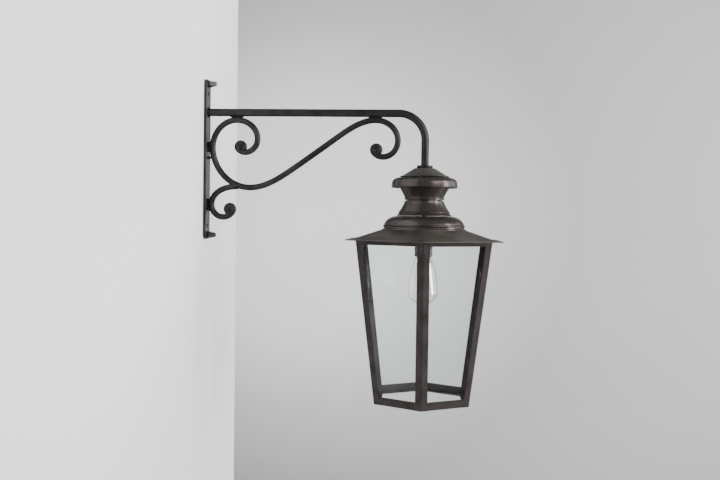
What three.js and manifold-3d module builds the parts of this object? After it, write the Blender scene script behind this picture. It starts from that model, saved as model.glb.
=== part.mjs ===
// Outdoor wall light: a flat wall bar, a bent pipe arm braced by two rolled scrolls, and a
// six-sided glazed lantern with a clear filament bulb, hung from the end of the arm.
// Millimetres, +Z up, +X out from the wall. The origin is the middle of the bar's back face.

import * as THREE from 'three';
import { mergeVertices } from 'three/addons/utils/BufferGeometryUtils.js';
import Module from 'manifold-3d';

const library = await Module();
library.setup();

// Clearances and cutting
const GAP = 0.3; // between pieces that touch
const THREAD_GAP = 0.15; // between round pieces that screw or slide into each other
const OVERRUN = 6; // how far a cutter runs past what it cuts

// Fineness: how many flats stand in for a round
const ROUND_FLATS = 32;
const SMALL_FLATS = 16;
const TUBE_FLATS = 12;
const WIRE_FLATS = 6;
const HEX_SIDES = 6;
const CURVE_STEPS = 6;
const STEP_TURN = THREE.MathUtils.degToRad(20); // most that a bent bar turns from ring to ring

// Wall bar
const BAR_WIDTH = 40;
const BAR_THICKNESS = 6;
const BAR_CORNER = 10;
const BAR_ABOVE_ARM = 74;
const BAR_BELOW_SCROLL = 44;
const FIXING_MARGIN = 9.5; // bar end to the middle of the fixing hole
const SPARE_MARGIN = 31; // bar end to the middle of the spare hole
const SPARE_HOLE_RADIUS = 4.5;

// Wall fixings: stud, washer and domed nut
const STUD_RADIUS = 4;
const STUD_HOLE_CLEARANCE = 0.5;
const STUD_IN_WALL = 34;
const WASHER_RADIUS = 8.5;
const WASHER_THICKNESS = 1.6;
const NUT_ACROSS_FLATS = 13;
const NUT_HEIGHT = 7;
const DOME_RADIUS = 6;
const DOME_NECK = 5;
const STUD_IN_NUT = 9;

// Arm: a pipe out from the bar, bent down at its end
const ARM_REACH = 500; // wall to the middle of the lantern
const ARM_BEND_RADIUS = 60;
const ARM_DROP = 116; // arm centreline to the pipe's lower end
const PIPE_RADIUS = 8.6;
const PIPE_WALL = 2;

// Scrolls: round bar, bent evenly from one row of a table to the next. The rows are equal
// steps along the bar, and a row is how sharply the bar bends there: span over radius.
const SCROLL_RADIUS = 6.75;
const SCROLL_START_HEADING = THREE.MathUtils.degToRad(165.4);
const OUTER_STEP_SHARE = 0.0629;
const OUTER_BEND_SHARES = [-7.9, -9.4, -10.2, -11.7, -14.3, -17.2];
const INNER_STEP_SHARE = 0.116;
const INNER_BEND_SHARES = [
  7.88, 3.37, 0.36, -0.13, -0.02, -0.5, -2.89, -5.66, -4.84, -4.28, -6.49, -8.27, -8.68, -13.1, -18.97,
];
const LOWER_START_DROP_SHARE = 0.35; // below the main scroll's crown
const LOWER_START_HEADING = THREE.MathUtils.degToRad(184);
const LOWER_STEP_SHARE = 0.0694;
const LOWER_BEND_SHARES = [0.3, 6.3, 11.5, 14.6, 16.4, 17.8];
const ROLL_CLEARANCE = 1; // hole left in the middle of a rolled end
const ROLL_LEAD_SHARE = 0.025;
const ROLL_TURN = THREE.MathUtils.degToRad(195);

// Pads between the bar and the scrolls, each hollowed a little where its scroll is seated
const PAD_HEIGHT = 24;
const PAD_WIDTH = 12;
const UPPER_PAD_THICKNESS = 4;
const LOWER_PAD_THICKNESS = 2;
const PAD_SEAT_DEPTH = 0.8;

// Hanging rod, its collar, reducer and nuts
const ROD_RADIUS = 5;
const ROD_BORE_RADIUS = 3.5;
const ROD_IN_PIPE = 20;
const REDUCER_LENGTH = 18;
const COLLAR_RADIUS = 17.4;
const COLLAR_THICKNESS = 6;
const ROD_NUT_ACROSS_FLATS = 14;
const ROD_NUT_HEIGHT = 4;

// Cap, neck and bell: sheet
const SHEET = 1.2;
const CAP_FLAT_RADIUS = 21.5;
const CAP_CONE_RADIUS = 55;
const CAP_CONE_HEIGHT = 20;
const BRIM_RADIUS = 74;
const BRIM_DROP = 15.5;
const BRIM_LIP = 8.5;
const NECK_TUCK = 8.5; // how far the neck's rim stands up inside the brim
const NECK_RIM_RADIUS = 60.5;
const NECK_RIM_FLANGE = 13;
const WAIST_RADIUS = 44;
const NECK_PULL_SHARE = 0.67; // how far down the upper neck its hollow is deepest
const THROAT_PULL_SHARE = 0.3; // the same for the lower neck
const NECK_UPPER_HEIGHT = 36.3;
const NECK_LOWER_HEIGHT = 30;
const BEAD_RADIUS = 60.5;
const BEAD_HEIGHT = 6;
const BEAD_FLANGE = 8;
const BELL_RADIUS = 93.5;
const BELL_HEIGHT = 26;
const BELL_SKIRT = 8;
const CAP_LEG_WIDTH = 8;
const CAP_LEG_DEPTH = 6;
const CAP_LEG_COUNT = 3;

// Roof: a six-sided hipped sheet with a flat lip; radii are to its corners
const EAVE_OVERHANG = 25.9; // past the corners of the glazed body
const EAVE_LIP = 13;
const ROOF_MOUTH_RADIUS = 70;
const ROOF_SLOPE = 0.28; // rise over run along a hip

// Glazed body; radii are to its corners
const BODY_TOP_RADIUS = 170.6;
const BODY_BOTTOM_RADIUS = 120;
const BODY_HEIGHT = 366.4;
const FRAME_SHEET = 1.5;
const FRAME_LEG = 15;
const TOP_FRAME_DROP = 12.5; // the top frame's upright leg, the shorter of its two
const POST_FLANGE = 15.5;
const GLASS_THICKNESS = 3;
const CLIP_WIDTH = 12;
const CLIP_HEIGHT = 10;
const CLIP_FOOT = 7;
const CLIP_THICKNESS = 1;

// Bridge strap that carries the glazed body on the rod
const STRAP_WIDTH = 20;
const STRAP_THICKNESS = 3;
const STRAP_CENTRE_LENGTH = 34;
const STRAP_FOOT_LENGTH = 18;
const STRAP_RISE = 20;

// Lampholder
const HOLDER_RADIUS = 20;
const HOLDER_WALL = 2;
const HOLDER_ENTRY_RADIUS = 9;
const HOLDER_DOME_HEIGHT = 14;
const HOLDER_TOP_HEIGHT = 19;
const HOLDER_SKIRT_HEIGHT = 31;
const INSERT_PLATE = 4;
const INSERT_HEIGHT = 29;
const SHELL_WALL = 0.5;
const SHELL_PLATE_HOLE_RADIUS = 6;
const CONTACT_RADIUS = 4;
const CONTACT_THICKNESS = 1;
const CONTACT_STEM_RADIUS = 1.8;
const CONTACT_DROP = 3; // insert plate to the contact's face

// Bulb
const LAMP_CAP_RADIUS = 13.1;
const LAMP_CAP_HEIGHT = 26;
const LAMP_CAP_WALL = 0.7;
const LAMP_TIP_RADIUS = 4.5;
const LAMP_TIP_HEIGHT = 2;
const LAMP_INSULATOR_RADIUS = 10;
const LAMP_INSULATOR_HEIGHT = 5;
const BULB_RADIUS = 33;
const BULB_GLASS = 1;
const BULB_LENGTH = 140; // tip of the cap to the bottom of the glass
const BULB_NECK_RADIUS = 14;
const BULB_NECK_TUCK = 8;
const BULB_BELLY_HEIGHT = 30; // bottom of the glass up to its widest ring
const BULB_SHOULDER_SHARES = [0.97, 0.62];
const STEM_RADIUS = 1.7;
const FILAMENT_COUNT = 4;
const FILAMENT_RADIUS = 1;
const FILAMENT_WIRE_RADIUS = 0.5;
const FILAMENT_TOP_RADIUS = 13.5;
const FILAMENT_FOOT_RADIUS = 21.5;
const FILAMENT_TOP_DROP = 46; // below the cap's tip
const FILAMENT_LENGTH = 71;

// Places that follow from the sizes
const armStart = BAR_THICKNESS + GAP;
const bendStart = ARM_REACH - ARM_BEND_RADIUS;
const scrollSpan = bendStart - BAR_THICKNESS;
const scrollCrown = -PIPE_RADIUS - GAP - SCROLL_RADIUS;
const rollRadius = SCROLL_RADIUS + ROLL_CLEARANCE;
const hexFlat = Math.cos(Math.PI / HEX_SIDES); // flat distance over corner radius
const roundFlat = Math.cos(Math.PI / ROUND_FLATS);
const pipeBore = PIPE_RADIUS - PIPE_WALL;
const eaveRadius = BODY_TOP_RADIUS + EAVE_OVERHANG;

// Heights in the lantern, down from the arm's centreline
const collarTop = -ARM_DROP - GAP;
const capTop = collarTop - COLLAR_THICKNESS - GAP;
const coneFoot = capTop - CAP_CONE_HEIGHT;
const brimTurn = coneFoot - BRIM_DROP;
const brimFoot = brimTurn - BRIM_LIP;
const neckTop = brimFoot + NECK_TUCK;
const neckSeam = neckTop - NECK_UPPER_HEIGHT;
const lowerNeckTop = neckSeam - GAP;
const beadTop = lowerNeckTop - NECK_LOWER_HEIGHT;
const beadFoot = beadTop - BEAD_HEIGHT;
const bellTop = beadFoot - GAP;
const bellFoot = bellTop - BELL_HEIGHT;
const roofEdgeRadius = eaveRadius - EAVE_LIP;
const eaveTop = bellFoot - GAP - (roofEdgeRadius - BELL_RADIUS) * ROOF_SLOPE;
const bodyTop = eaveTop + (roofEdgeRadius - BODY_TOP_RADIUS) * ROOF_SLOPE - SHEET - GAP - GAP;
const bodyFoot = bodyTop - BODY_HEIGHT;
const taper = (BODY_TOP_RADIUS - BODY_BOTTOM_RADIUS) / BODY_HEIGHT;
const paneTop = bodyTop - FRAME_SHEET - GAP;
const paneFoot = bodyFoot + FRAME_SHEET + GAP;
const strapFootTop = bodyTop - FRAME_SHEET - GAP;
const strapTop = strapFootTop + STRAP_RISE;
const strapUnder = strapTop - STRAP_THICKNESS;
const lowerNutTop = strapUnder - GAP;
const holderTop = lowerNutTop - ROD_NUT_HEIGHT - GAP;
const holderSeam = holderTop - HOLDER_TOP_HEIGHT;
const holderFoot = holderSeam - GAP - HOLDER_SKIRT_HEIGHT;
const rodFoot = holderTop - HOLDER_DOME_HEIGHT + HOLDER_WALL;
const insertTop = rodFoot - GAP;
const insertUnder = insertTop - INSERT_PLATE;
const contactFace = insertUnder - CONTACT_DROP;
const lampTip = contactFace - GAP;
const lampCapFoot = lampTip - LAMP_CAP_HEIGHT;
const lampCapRim = lampTip - LAMP_TIP_HEIGHT - LAMP_INSULATOR_HEIGHT;
const lampCapCeiling = lampCapRim - LAMP_CAP_WALL;
const bulbFoot = lampTip - BULB_LENGTH;
const bulbBelly = bulbFoot + BULB_BELLY_HEIGHT;

// Finishes
const finish = (name, color, roughness, metalness, opacity = 1) => new THREE.MeshStandardMaterial({
  name, color, roughness, metalness, opacity, transparent: opacity < 1,
});
const IRON = finish('iron', 0x2d2b2c, 0.5, 0.6);
const STEEL = finish('steel', 0x77787a, 0.4, 0.9);
const PATINA = finish('patina', 0x5a5248, 0.5, 0.7);
const BRASS = finish('brass', 0xa98b4f, 0.35, 0.9);
const BAKELITE = finish('bakelite', 0x151413, 0.2, 0);
const CERAMIC = finish('ceramic', 0xd9d4c8, 0.4, 0);
const GLASS = finish('glass', 0xdfe9e6, 0.05, 0, 0.25);
const FILAMENT = finish('filament', 0xf3ead2, 0.5, 0);

// Closed solids: shared vertices merged, empty triangles dropped
function closed(geometry) {
  geometry.deleteAttribute('normal');
  geometry.deleteAttribute('uv');
  const body = mergeVertices(geometry);
  const index = Array.from(body.index.array);
  const kept = [];
  for (let i = 0; i < index.length; i += 3) {
    const [a, b, c] = index.slice(i, i + 3);
    if (a !== b && b !== c && c !== a) kept.push(a, b, c);
  }
  body.setIndex(kept);
  body.computeVertexNormals();
  return body;
}

function toManifold(geometry) {
  return new library.Manifold(new library.Mesh({
    numProp: 3,
    vertProperties: Float32Array.from(geometry.attributes.position.array),
    triVerts: Uint32Array.from(geometry.index.array),
  }));
}

function fromManifold(solid) {
  const mesh = solid.getMesh();
  const geometry = new THREE.BufferGeometry();
  geometry.setAttribute('position', new THREE.BufferAttribute(mesh.vertProperties, 3));
  geometry.setIndex(new THREE.BufferAttribute(mesh.triVerts, 1));
  geometry.computeVertexNormals();
  return geometry;
}

function cut(geometry, tools) {
  return fromManifold(tools.reduce((left, tool) => left.subtract(toManifold(tool)), toManifold(geometry)));
}

function join(geometries) {
  const [first, ...others] = geometries.map(toManifold);
  return fromManifold(others.reduce((sum, solid) => sum.add(solid), first));
}

const point = (x, y) => new THREE.Vector2(x, y);

// A profile of [radius, height] points turned about Z; it closes on itself or on the axis
function turned(profile, flats = ROUND_FLATS) {
  const onAxis = profile[0].x === 0 && profile[profile.length - 1].x === 0;
  const ring = onAxis ? profile : [...profile, profile[0]];
  const points = THREE.ShapeUtils.area(profile) > 0 ? ring : ring.slice().reverse();
  return closed(new THREE.LatheGeometry(points, flats).rotateX(Math.PI / 2));
}

// A round plate or tube from one height to another
function tube(outer, inner, top, foot, flats = ROUND_FLATS) {
  const wall = inner > 0 ? [point(inner, foot), point(outer, foot), point(outer, top), point(inner, top)]
    : [point(0, foot), point(outer, foot), point(outer, top), point(0, top)];
  return turned(wall, flats);
}

// The same line, a sheet's thickness further in; the line runs with its outside on the left
function inset(line, distance) {
  const sides = line.slice(1).map((next, i) => next.clone().sub(line[i]).normalize());
  return line.map((here, i) => {
    const before = sides[Math.max(i - 1, 0)];
    const after = sides[Math.min(i, sides.length - 1)];
    const along = before.clone().add(after).normalize();
    const reach = distance / along.dot(after);
    return point(here.x + along.y * reach, here.y - along.x * reach);
  });
}

// Sheet turned about Z from the line of its outer face, drawn from the top down
function spun(line, thickness, flats = ROUND_FLATS) {
  return turned([...line, ...inset(line, thickness).reverse()], flats);
}

function curved(start, pull, end) {
  return new THREE.QuadraticBezierCurve(start, pull, end).getPoints(CURVE_STEPS);
}

// A flat outline extruded up Z from zero
function plate(shape, thickness) {
  const settings = { depth: thickness, bevelEnabled: false, curveSegments: CURVE_STEPS };
  return closed(new THREE.ExtrudeGeometry(shape, settings));
}

function outline(points) {
  return new THREE.Shape(points.map(([x, y]) => point(x, y)));
}

// A round bar or pipe bent in the XZ plane. A stretch is a run, the bend at its start and the
// bend at its end, in turns over length; the bend changes evenly along it.
class BentBar extends THREE.Curve {
  constructor(start, heading, stretches) {
    super();
    const samples = [{ x: start.x, z: start.y, heading }];
    this.stations = [0];
    for (const { run, from, to } of stretches) {
      const rings = Math.max(1, Math.ceil(Math.abs((from + to) / 2 * run) / STEP_TURN));
      const fine = rings * BentBar.FINE;
      for (let i = 0; i < fine; i += 1) {
        const last = samples[samples.length - 1];
        const bend = from + (to - from) * (i + 1 / 2) / fine;
        const step = run / fine;
        const middle = last.heading + bend * step / 2;
        samples.push({
          x: last.x + Math.cos(middle) * step,
          z: last.z + Math.sin(middle) * step,
          heading: last.heading + bend * step,
        });
        if ((i + 1) % BentBar.FINE === 0) this.stations.push(samples.length - 1);
      }
    }
    this.samples = samples;
  }

  get rings() {
    return this.stations.length - 1;
  }

  place(share) {
    const along = THREE.MathUtils.clamp(share, 0, 1) * this.rings;
    const ring = Math.min(Math.floor(along), this.rings - 1);
    const sample = THREE.MathUtils.lerp(this.stations[ring], this.stations[ring + 1], along - ring);
    const low = Math.min(Math.floor(sample), this.samples.length - 2);
    const [a, b] = this.samples.slice(low, low + 2);
    const blend = sample - low;
    return {
      x: THREE.MathUtils.lerp(a.x, b.x, blend),
      z: THREE.MathUtils.lerp(a.z, b.z, blend),
      heading: THREE.MathUtils.lerp(a.heading, b.heading, blend),
    };
  }

  getPoint(share, target = new THREE.Vector3()) {
    const { x, z } = this.place(share);
    return target.set(x, 0, z);
  }

  getTangent(share, target = new THREE.Vector3()) {
    const { heading } = this.place(share);
    return target.set(Math.cos(heading), 0, Math.sin(heading));
  }

  getUtoTmapping(share) {
    return share;
  }
}
BentBar.FINE = 8;

function swept(curve, radius, bore = 0) {
  const section = new THREE.Shape(circlePoints(radius));
  if (bore > 0) section.holes.push(new THREE.Path(circlePoints(bore).reverse()));
  return closed(new THREE.ExtrudeGeometry(section, { steps: curve.rings, extrudePath: curve }));
}

function circlePoints(radius) {
  return Array.from({ length: TUBE_FLATS }, (unused, i) => {
    const angle = (i + 1 / 2) / TUBE_FLATS * Math.PI * 2;
    return point(Math.cos(angle) * radius, Math.sin(angle) * radius);
  });
}

// Stretches of a scroll from its table, with the tight roll at its end
function scrollStretches(stepShare, bendShares) {
  const bends = bendShares.map((share) => share / scrollSpan);
  const last = bends[bends.length - 1];
  const roll = Math.sign(last) / rollRadius;
  const rows = bends.slice(1).map((to, i) => ({ run: stepShare * scrollSpan, from: bends[i], to }));
  return [
    ...rows,
    { run: ROLL_LEAD_SHARE * scrollSpan, from: last, to: roll },
    { run: ROLL_TURN * rollRadius, from: roll, to: roll },
  ];
}

// How far a curve reaches towards the wall, up and down
const nearestOf = (curve) => curve.samples.reduce((best, sample) => (sample.x < best.x ? sample : best));
const crownOf = (curve) => Math.max(...curve.samples.map(({ z }) => z));
const footOf = (curve) => Math.min(...curve.samples.map(({ z }) => z));

// Where a scroll's centreline comes nearest to the wall, seated in its pad
const seatedOn = (padThickness) => armStart + padThickness - PAD_SEAT_DEPTH + GAP + SCROLL_RADIUS;

// The main scroll as one curve, from the rolled end by the lantern to the one by the wall,
// with its crown under the arm and its side on the upper pad
function mainScrollCurve() {
  const outer = scrollStretches(OUTER_STEP_SHARE, OUTER_BEND_SHARES);
  const backwards = outer.map(({ run, from, to }) => ({ run, from: -to, to: -from })).reverse();
  const stretches = [...backwards, ...scrollStretches(INNER_STEP_SHARE, INNER_BEND_SHARES)];
  const outerTurn = outer.reduce((turn, { run, from, to }) => turn + (from + to) / 2 * run, 0);
  const heading = SCROLL_START_HEADING + outerTurn;
  const loose = new BentBar(point(0, 0), heading, stretches);
  const start = point(seatedOn(UPPER_PAD_THICKNESS) - nearestOf(loose).x, scrollCrown - crownOf(loose));
  return new BentBar(start, heading, stretches);
}

function lowerScrollCurve() {
  const stretches = scrollStretches(LOWER_STEP_SHARE, LOWER_BEND_SHARES);
  const loose = new BentBar(point(0, 0), LOWER_START_HEADING, stretches);
  const x = seatedOn(LOWER_PAD_THICKNESS) - nearestOf(loose).x;
  const z = scrollCrown - LOWER_START_DROP_SHARE * scrollSpan;
  return new BentBar(point(x, z), LOWER_START_HEADING, stretches);
}

const mainCurve = mainScrollCurve();
const lowerCurve = lowerScrollCurve();
const lowerScrollFoot = footOf(lowerCurve) - SCROLL_RADIUS;
const barTop = BAR_ABOVE_ARM;
const barFoot = lowerScrollFoot - BAR_BELOW_SCROLL;
const armHeight = -(barTop + barFoot) / 2; // arm centreline above the origin
const fixingHeights = [barTop - FIXING_MARGIN, barFoot + FIXING_MARGIN];

const light = new THREE.Group();
const bracket = new THREE.Group();
const lantern = new THREE.Group();
bracket.position.z = armHeight;
lantern.position.set(ARM_REACH, 0, armHeight);
light.add(bracket, lantern);

function add(group, name, geometry, material) {
  const mesh = new THREE.Mesh(geometry, material);
  mesh.name = name;
  group.add(mesh);
  return mesh;
}

// A round cutter or pin along X
const alongX = (geometry) => geometry.rotateY(Math.PI / 2);

function wallBar() {
  const half = BAR_WIDTH / 2;
  const corner = Math.min(BAR_CORNER, half - GAP);
  const shape = new THREE.Shape();
  shape.absarc(half - corner, barTop - corner, corner, 0, Math.PI / 2);
  shape.absarc(corner - half, barTop - corner, corner, Math.PI / 2, Math.PI);
  shape.absarc(corner - half, barFoot + corner, corner, Math.PI, Math.PI * 3 / 2);
  shape.absarc(half - corner, barFoot + corner, corner, Math.PI * 3 / 2, Math.PI * 2);
  const bar = plate(shape, BAR_THICKNESS).rotateX(Math.PI / 2).rotateZ(Math.PI / 2);
  const hole = (radius, height) => alongX(
    tube(radius, 0, BAR_THICKNESS + OVERRUN, -OVERRUN, SMALL_FLATS),
  ).translate(0, 0, height);
  const fixings = fixingHeights.map((height) => hole(STUD_RADIUS + STUD_HOLE_CLEARANCE, height));
  const spareHeights = [barTop - SPARE_MARGIN, barFoot + SPARE_MARGIN];
  const spares = spareHeights.map((height) => hole(SPARE_HOLE_RADIUS, height));
  return cut(bar, [...fixings, ...spares, hole(pipeBore, 0)]);
}

const washerFace = BAR_THICKNESS + GAP;
const nutFace = washerFace + WASHER_THICKNESS + GAP;

function domedNut() {
  const neck = nutFace + NUT_HEIGHT;
  const across = NUT_ACROSS_FLATS / 2 / hexFlat;
  const hex = tube(across, 0, neck, nutFace, HEX_SIDES);
  const dome = new THREE.EllipseCurve(0, neck + DOME_NECK, DOME_RADIUS, DOME_RADIUS, 0, Math.PI / 2);
  const round = dome.getPoints(CURVE_STEPS).slice(0, -1);
  const tip = point(0, neck + DOME_NECK + DOME_RADIUS);
  const seat = nutFace + GAP;
  const cap = turned([point(0, seat), point(DOME_RADIUS, seat), ...round, tip], SMALL_FLATS);
  const boreEnd = nutFace + STUD_IN_NUT + GAP;
  const bore = tube(STUD_RADIUS + THREAD_GAP, 0, boreEnd, nutFace - OVERRUN, SMALL_FLATS);
  return alongX(cut(join([hex, cap]), [bore]));
}

function fixing(name, height) {
  const studEnd = nutFace + STUD_IN_NUT;
  const stud = alongX(tube(STUD_RADIUS, 0, studEnd, -STUD_IN_WALL, SMALL_FLATS));
  const hole = STUD_RADIUS + THREAD_GAP;
  const washer = alongX(tube(WASHER_RADIUS, hole, washerFace + WASHER_THICKNESS, washerFace, SMALL_FLATS));
  const pieces = [['wall_stud', stud, STEEL], ['wall_washer', washer, IRON], ['wall_nut', domedNut(), STEEL]];
  for (const [piece, geometry, material] of pieces) {
    add(bracket, `${piece}_${name}`, geometry, material).position.z = height;
  }
}

function armCurve() {
  return new BentBar(point(armStart, 0), 0, [
    { run: bendStart - armStart, from: 0, to: 0 },
    { run: ARM_BEND_RADIUS * Math.PI / 2, from: -1 / ARM_BEND_RADIUS, to: -1 / ARM_BEND_RADIUS },
    { run: ARM_DROP - ARM_BEND_RADIUS, from: 0, to: 0 },
  ]);
}

// A pad between the bar and the place where a scroll comes nearest to it
function scrollPad(curve, thickness) {
  const pad = new THREE.BoxGeometry(thickness, PAD_WIDTH, PAD_HEIGHT);
  pad.translate(armStart + thickness / 2, 0, nearestOf(curve).z);
  return cut(closed(pad), [swept(curve, SCROLL_RADIUS + GAP)]);
}

// The lower scroll starts against the main one, so its end is cut to that round
function lowerScroll() {
  return cut(swept(lowerCurve, SCROLL_RADIUS), [swept(mainCurve, SCROLL_RADIUS + GAP)]);
}

add(bracket, 'wall_bar', wallBar(), IRON);
fixing('upper', fixingHeights[0]);
fixing('lower', fixingHeights[1]);
add(bracket, 'arm_pipe', swept(armCurve(), PIPE_RADIUS, pipeBore), IRON);
add(bracket, 'main_scroll', swept(mainCurve, SCROLL_RADIUS), IRON);
add(bracket, 'lower_scroll', lowerScroll(), IRON);
add(bracket, 'scroll_pad_upper', scrollPad(mainCurve, UPPER_PAD_THICKNESS), IRON);
add(bracket, 'scroll_pad_lower', scrollPad(lowerCurve, LOWER_PAD_THICKNESS), IRON);

function roofLine() {
  const mouth = eaveTop + (roofEdgeRadius - ROOF_MOUTH_RADIUS) * ROOF_SLOPE;
  return [point(ROOF_MOUTH_RADIUS, mouth), point(roofEdgeRadius, eaveTop), point(eaveRadius, eaveTop)];
}

// The cap is a cone, a shoulder, a turned-down rim and an upright drip band, edge to edge
function coneLine() {
  const top = [point(ROD_RADIUS + GAP, capTop), point(CAP_FLAT_RADIUS, capTop)];
  return [...top, point(CAP_CONE_RADIUS, coneFoot)];
}

function brimLine() {
  const start = point(CAP_CONE_RADIUS + GAP, coneFoot);
  return curved(start, point(BRIM_RADIUS, coneFoot - SHEET), point(BRIM_RADIUS, brimTurn));
}

// The brim's line in two, with a gap between them
function brimHalves() {
  const line = brimLine();
  const middle = CURVE_STEPS / 2;
  const seam = line[middle];
  const next = line[middle + 1].clone().sub(seam).setLength(GAP + GAP).add(seam);
  return [line.slice(0, middle + 1), [next, ...line.slice(middle + 1)]];
}

function upperNeckLine() {
  const pull = point(WAIST_RADIUS + SHEET, THREE.MathUtils.lerp(neckTop, neckSeam, NECK_PULL_SHARE));
  const side = curved(point(NECK_RIM_RADIUS, neckTop), pull, point(WAIST_RADIUS, neckSeam));
  return [point(NECK_RIM_RADIUS - NECK_RIM_FLANGE, neckTop), ...side];
}

function lowerNeckLine() {
  const pull = point(WAIST_RADIUS, THREE.MathUtils.lerp(lowerNeckTop, beadTop, THROAT_PULL_SHARE));
  const throat = BEAD_RADIUS - SHEET;
  const side = curved(point(WAIST_RADIUS, lowerNeckTop), pull, point(throat, beadTop));
  const slant = BEAD_HEIGHT / 3;
  const bead = [point(BEAD_RADIUS, beadTop - slant), point(BEAD_RADIUS, beadFoot + slant)];
  return [...side, ...bead, point(throat, beadFoot), point(throat - BEAD_FLANGE, beadFoot)];
}

// A round bell whose skirt is cut to the slopes of the roof
function bellPiece() {
  const width = BELL_RADIUS - BEAD_RADIUS;
  const dome = new THREE.EllipseCurve(BEAD_RADIUS, bellFoot, width, BELL_HEIGHT, Math.PI / 2, 0, true);
  const side = dome.getPoints(CURVE_STEPS);
  const bell = spun([
    point(BEAD_RADIUS - BEAD_FLANGE, bellTop), ...side, point(BELL_RADIUS, bellFoot - BELL_SKIRT),
  ], SHEET);
  const [mouth, edge] = roofLine().map(({ x, y }) => point(x, y + GAP));
  const low = edge.y - BELL_HEIGHT;
  const roof = turned([point(0, mouth.y), mouth, edge, point(edge.x, low), point(0, low)], HEX_SIDES);
  return cut(bell, [roof]);
}

const threadBore = ROD_RADIUS + THREAD_GAP;
const [shoulder, rim] = brimHalves();
const reducer = tube(pipeBore - GAP, threadBore, -ARM_DROP + REDUCER_LENGTH, -ARM_DROP);
const collar = tube(COLLAR_RADIUS, threadBore, collarTop, collarTop - COLLAR_THICKNESS);
add(bracket, 'pipe_reducer', reducer, BRASS).position.x = ARM_REACH;
add(lantern, 'hanging_rod', tube(ROD_RADIUS, ROD_BORE_RADIUS, ROD_IN_PIPE - ARM_DROP, rodFoot), STEEL);
add(lantern, 'collar_nut', collar, IRON);
add(lantern, 'cap_cone', spun(coneLine(), SHEET), PATINA);
add(lantern, 'cap_shoulder', spun(shoulder, SHEET), PATINA);
add(lantern, 'cap_rim', spun(rim, SHEET), PATINA);
add(lantern, 'cap_band', tube(BRIM_RADIUS, BRIM_RADIUS - SHEET, brimTurn - GAP, brimFoot), PATINA);
add(lantern, 'neck_upper', spun(upperNeckLine(), SHEET), PATINA);
add(lantern, 'neck_lower', spun(lowerNeckLine(), SHEET), PATINA);
add(lantern, 'bell', bellPiece(), PATINA);
add(lantern, 'roof', spun(roofLine(), SHEET, HEX_SIDES), PATINA);

// The height of a line, drawn outwards, at a radius
function heightAt(line, radius) {
  const next = line.findIndex(({ x }) => x > radius);
  const [near, far] = [line[next - 1], line[next]];
  return THREE.MathUtils.mapLinear(radius, near.x, far.x, near.y, far.y);
}

// Legs that stand on the neck's rim and carry the cap, leaving the hot air a way out
function capLeg() {
  const inner = NECK_RIM_RADIUS - NECK_RIM_FLANGE + GAP;
  const outer = inner + CAP_LEG_DEPTH;
  const ceiling = inset([...coneLine(), ...brimLine().slice(1)], SHEET);
  const top = (radius) => heightAt(ceiling, Math.hypot(radius, CAP_LEG_WIDTH / 2) / roundFlat) - GAP;
  const foot = neckTop + GAP;
  const shape = outline([[inner, foot], [outer, foot], [outer, top(outer)], [inner, top(inner)]]);
  return plate(shape, CAP_LEG_WIDTH).translate(0, 0, -CAP_LEG_WIDTH / 2).rotateX(Math.PI / 2);
}
for (let i = 0; i < CAP_LEG_COUNT; i += 1) {
  add(lantern, `cap_leg_${i + 1}`, capLeg(), PATINA).rotation.z = i / CAP_LEG_COUNT * Math.PI * 2;
}

// Glazed body
const cornerRadius = (height) => BODY_TOP_RADIUS - (bodyTop - height) * taper;
const flatDistance = (height) => cornerRadius(height) * hexFlat;
const legInCorner = FRAME_LEG / hexFlat;
const sheetInCorner = FRAME_SHEET / hexFlat;

// Lean a piece that was drawn upright at the body's foot out along +X with the body's sides
function leaned(geometry, slope) {
  const lean = new THREE.Matrix4().makeShear(0, 0, 0, 0, slope, 0);
  return geometry.applyMatrix4(lean);
}

// A folded corner post, or a slot for one in a frame, which runs past it outwards and at both ends
function post(flange, thickness, past) {
  const side = point(-Math.cos(Math.PI / 3), Math.sin(Math.PI / 3));
  const inward = point(-side.y, side.x);
  const halfPost = (sign) => {
    const tip = side.clone().multiplyScalar(flange);
    const outer = tip.clone().addScaledVector(inward, -past);
    const inner = tip.clone().addScaledVector(inward, thickness);
    return { outer: [outer.x, outer.y * sign], inner: [inner.x, inner.y * sign] };
  };
  const [left, right] = [halfPost(1), halfPost(-1)];
  const shape = outline([
    [past / hexFlat, 0], left.outer, left.inner, [-thickness / hexFlat, 0], right.inner, right.outer,
  ]);
  const upright = plate(shape, BODY_HEIGHT + past + past).translate(0, 0, -past);
  return leaned(upright, taper).translate(BODY_BOTTOM_RADIUS, 0, bodyFoot);
}

const cornerAngles = Array.from({ length: HEX_SIDES }, (unused, i) => (i / HEX_SIDES - 1 / 4) * Math.PI * 2);
const flatAngles = cornerAngles.map((angle) => angle + Math.PI / HEX_SIDES);
const postSlot = () => post(POST_FLANGE + GAP, FRAME_SHEET + GAP, OVERRUN);
const postSlots = cornerAngles.map((angle) => postSlot().rotateZ(angle));

// A ring of angle section, its upright leg running from its edge as far as the leg says
function frameRing(edge, leg) {
  const direction = Math.sign(leg);
  const far = edge + leg;
  const web = edge + FRAME_SHEET * direction;
  const flange = cornerRadius(edge) - legInCorner;
  const profile = [
    point(cornerRadius(edge), edge), point(cornerRadius(far), far),
    point(cornerRadius(far) - sheetInCorner, far), point(cornerRadius(web) - sheetInCorner, web),
    point(flange, web), point(flange, edge),
  ];
  return cut(turned(profile, HEX_SIDES), postSlots);
}

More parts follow.
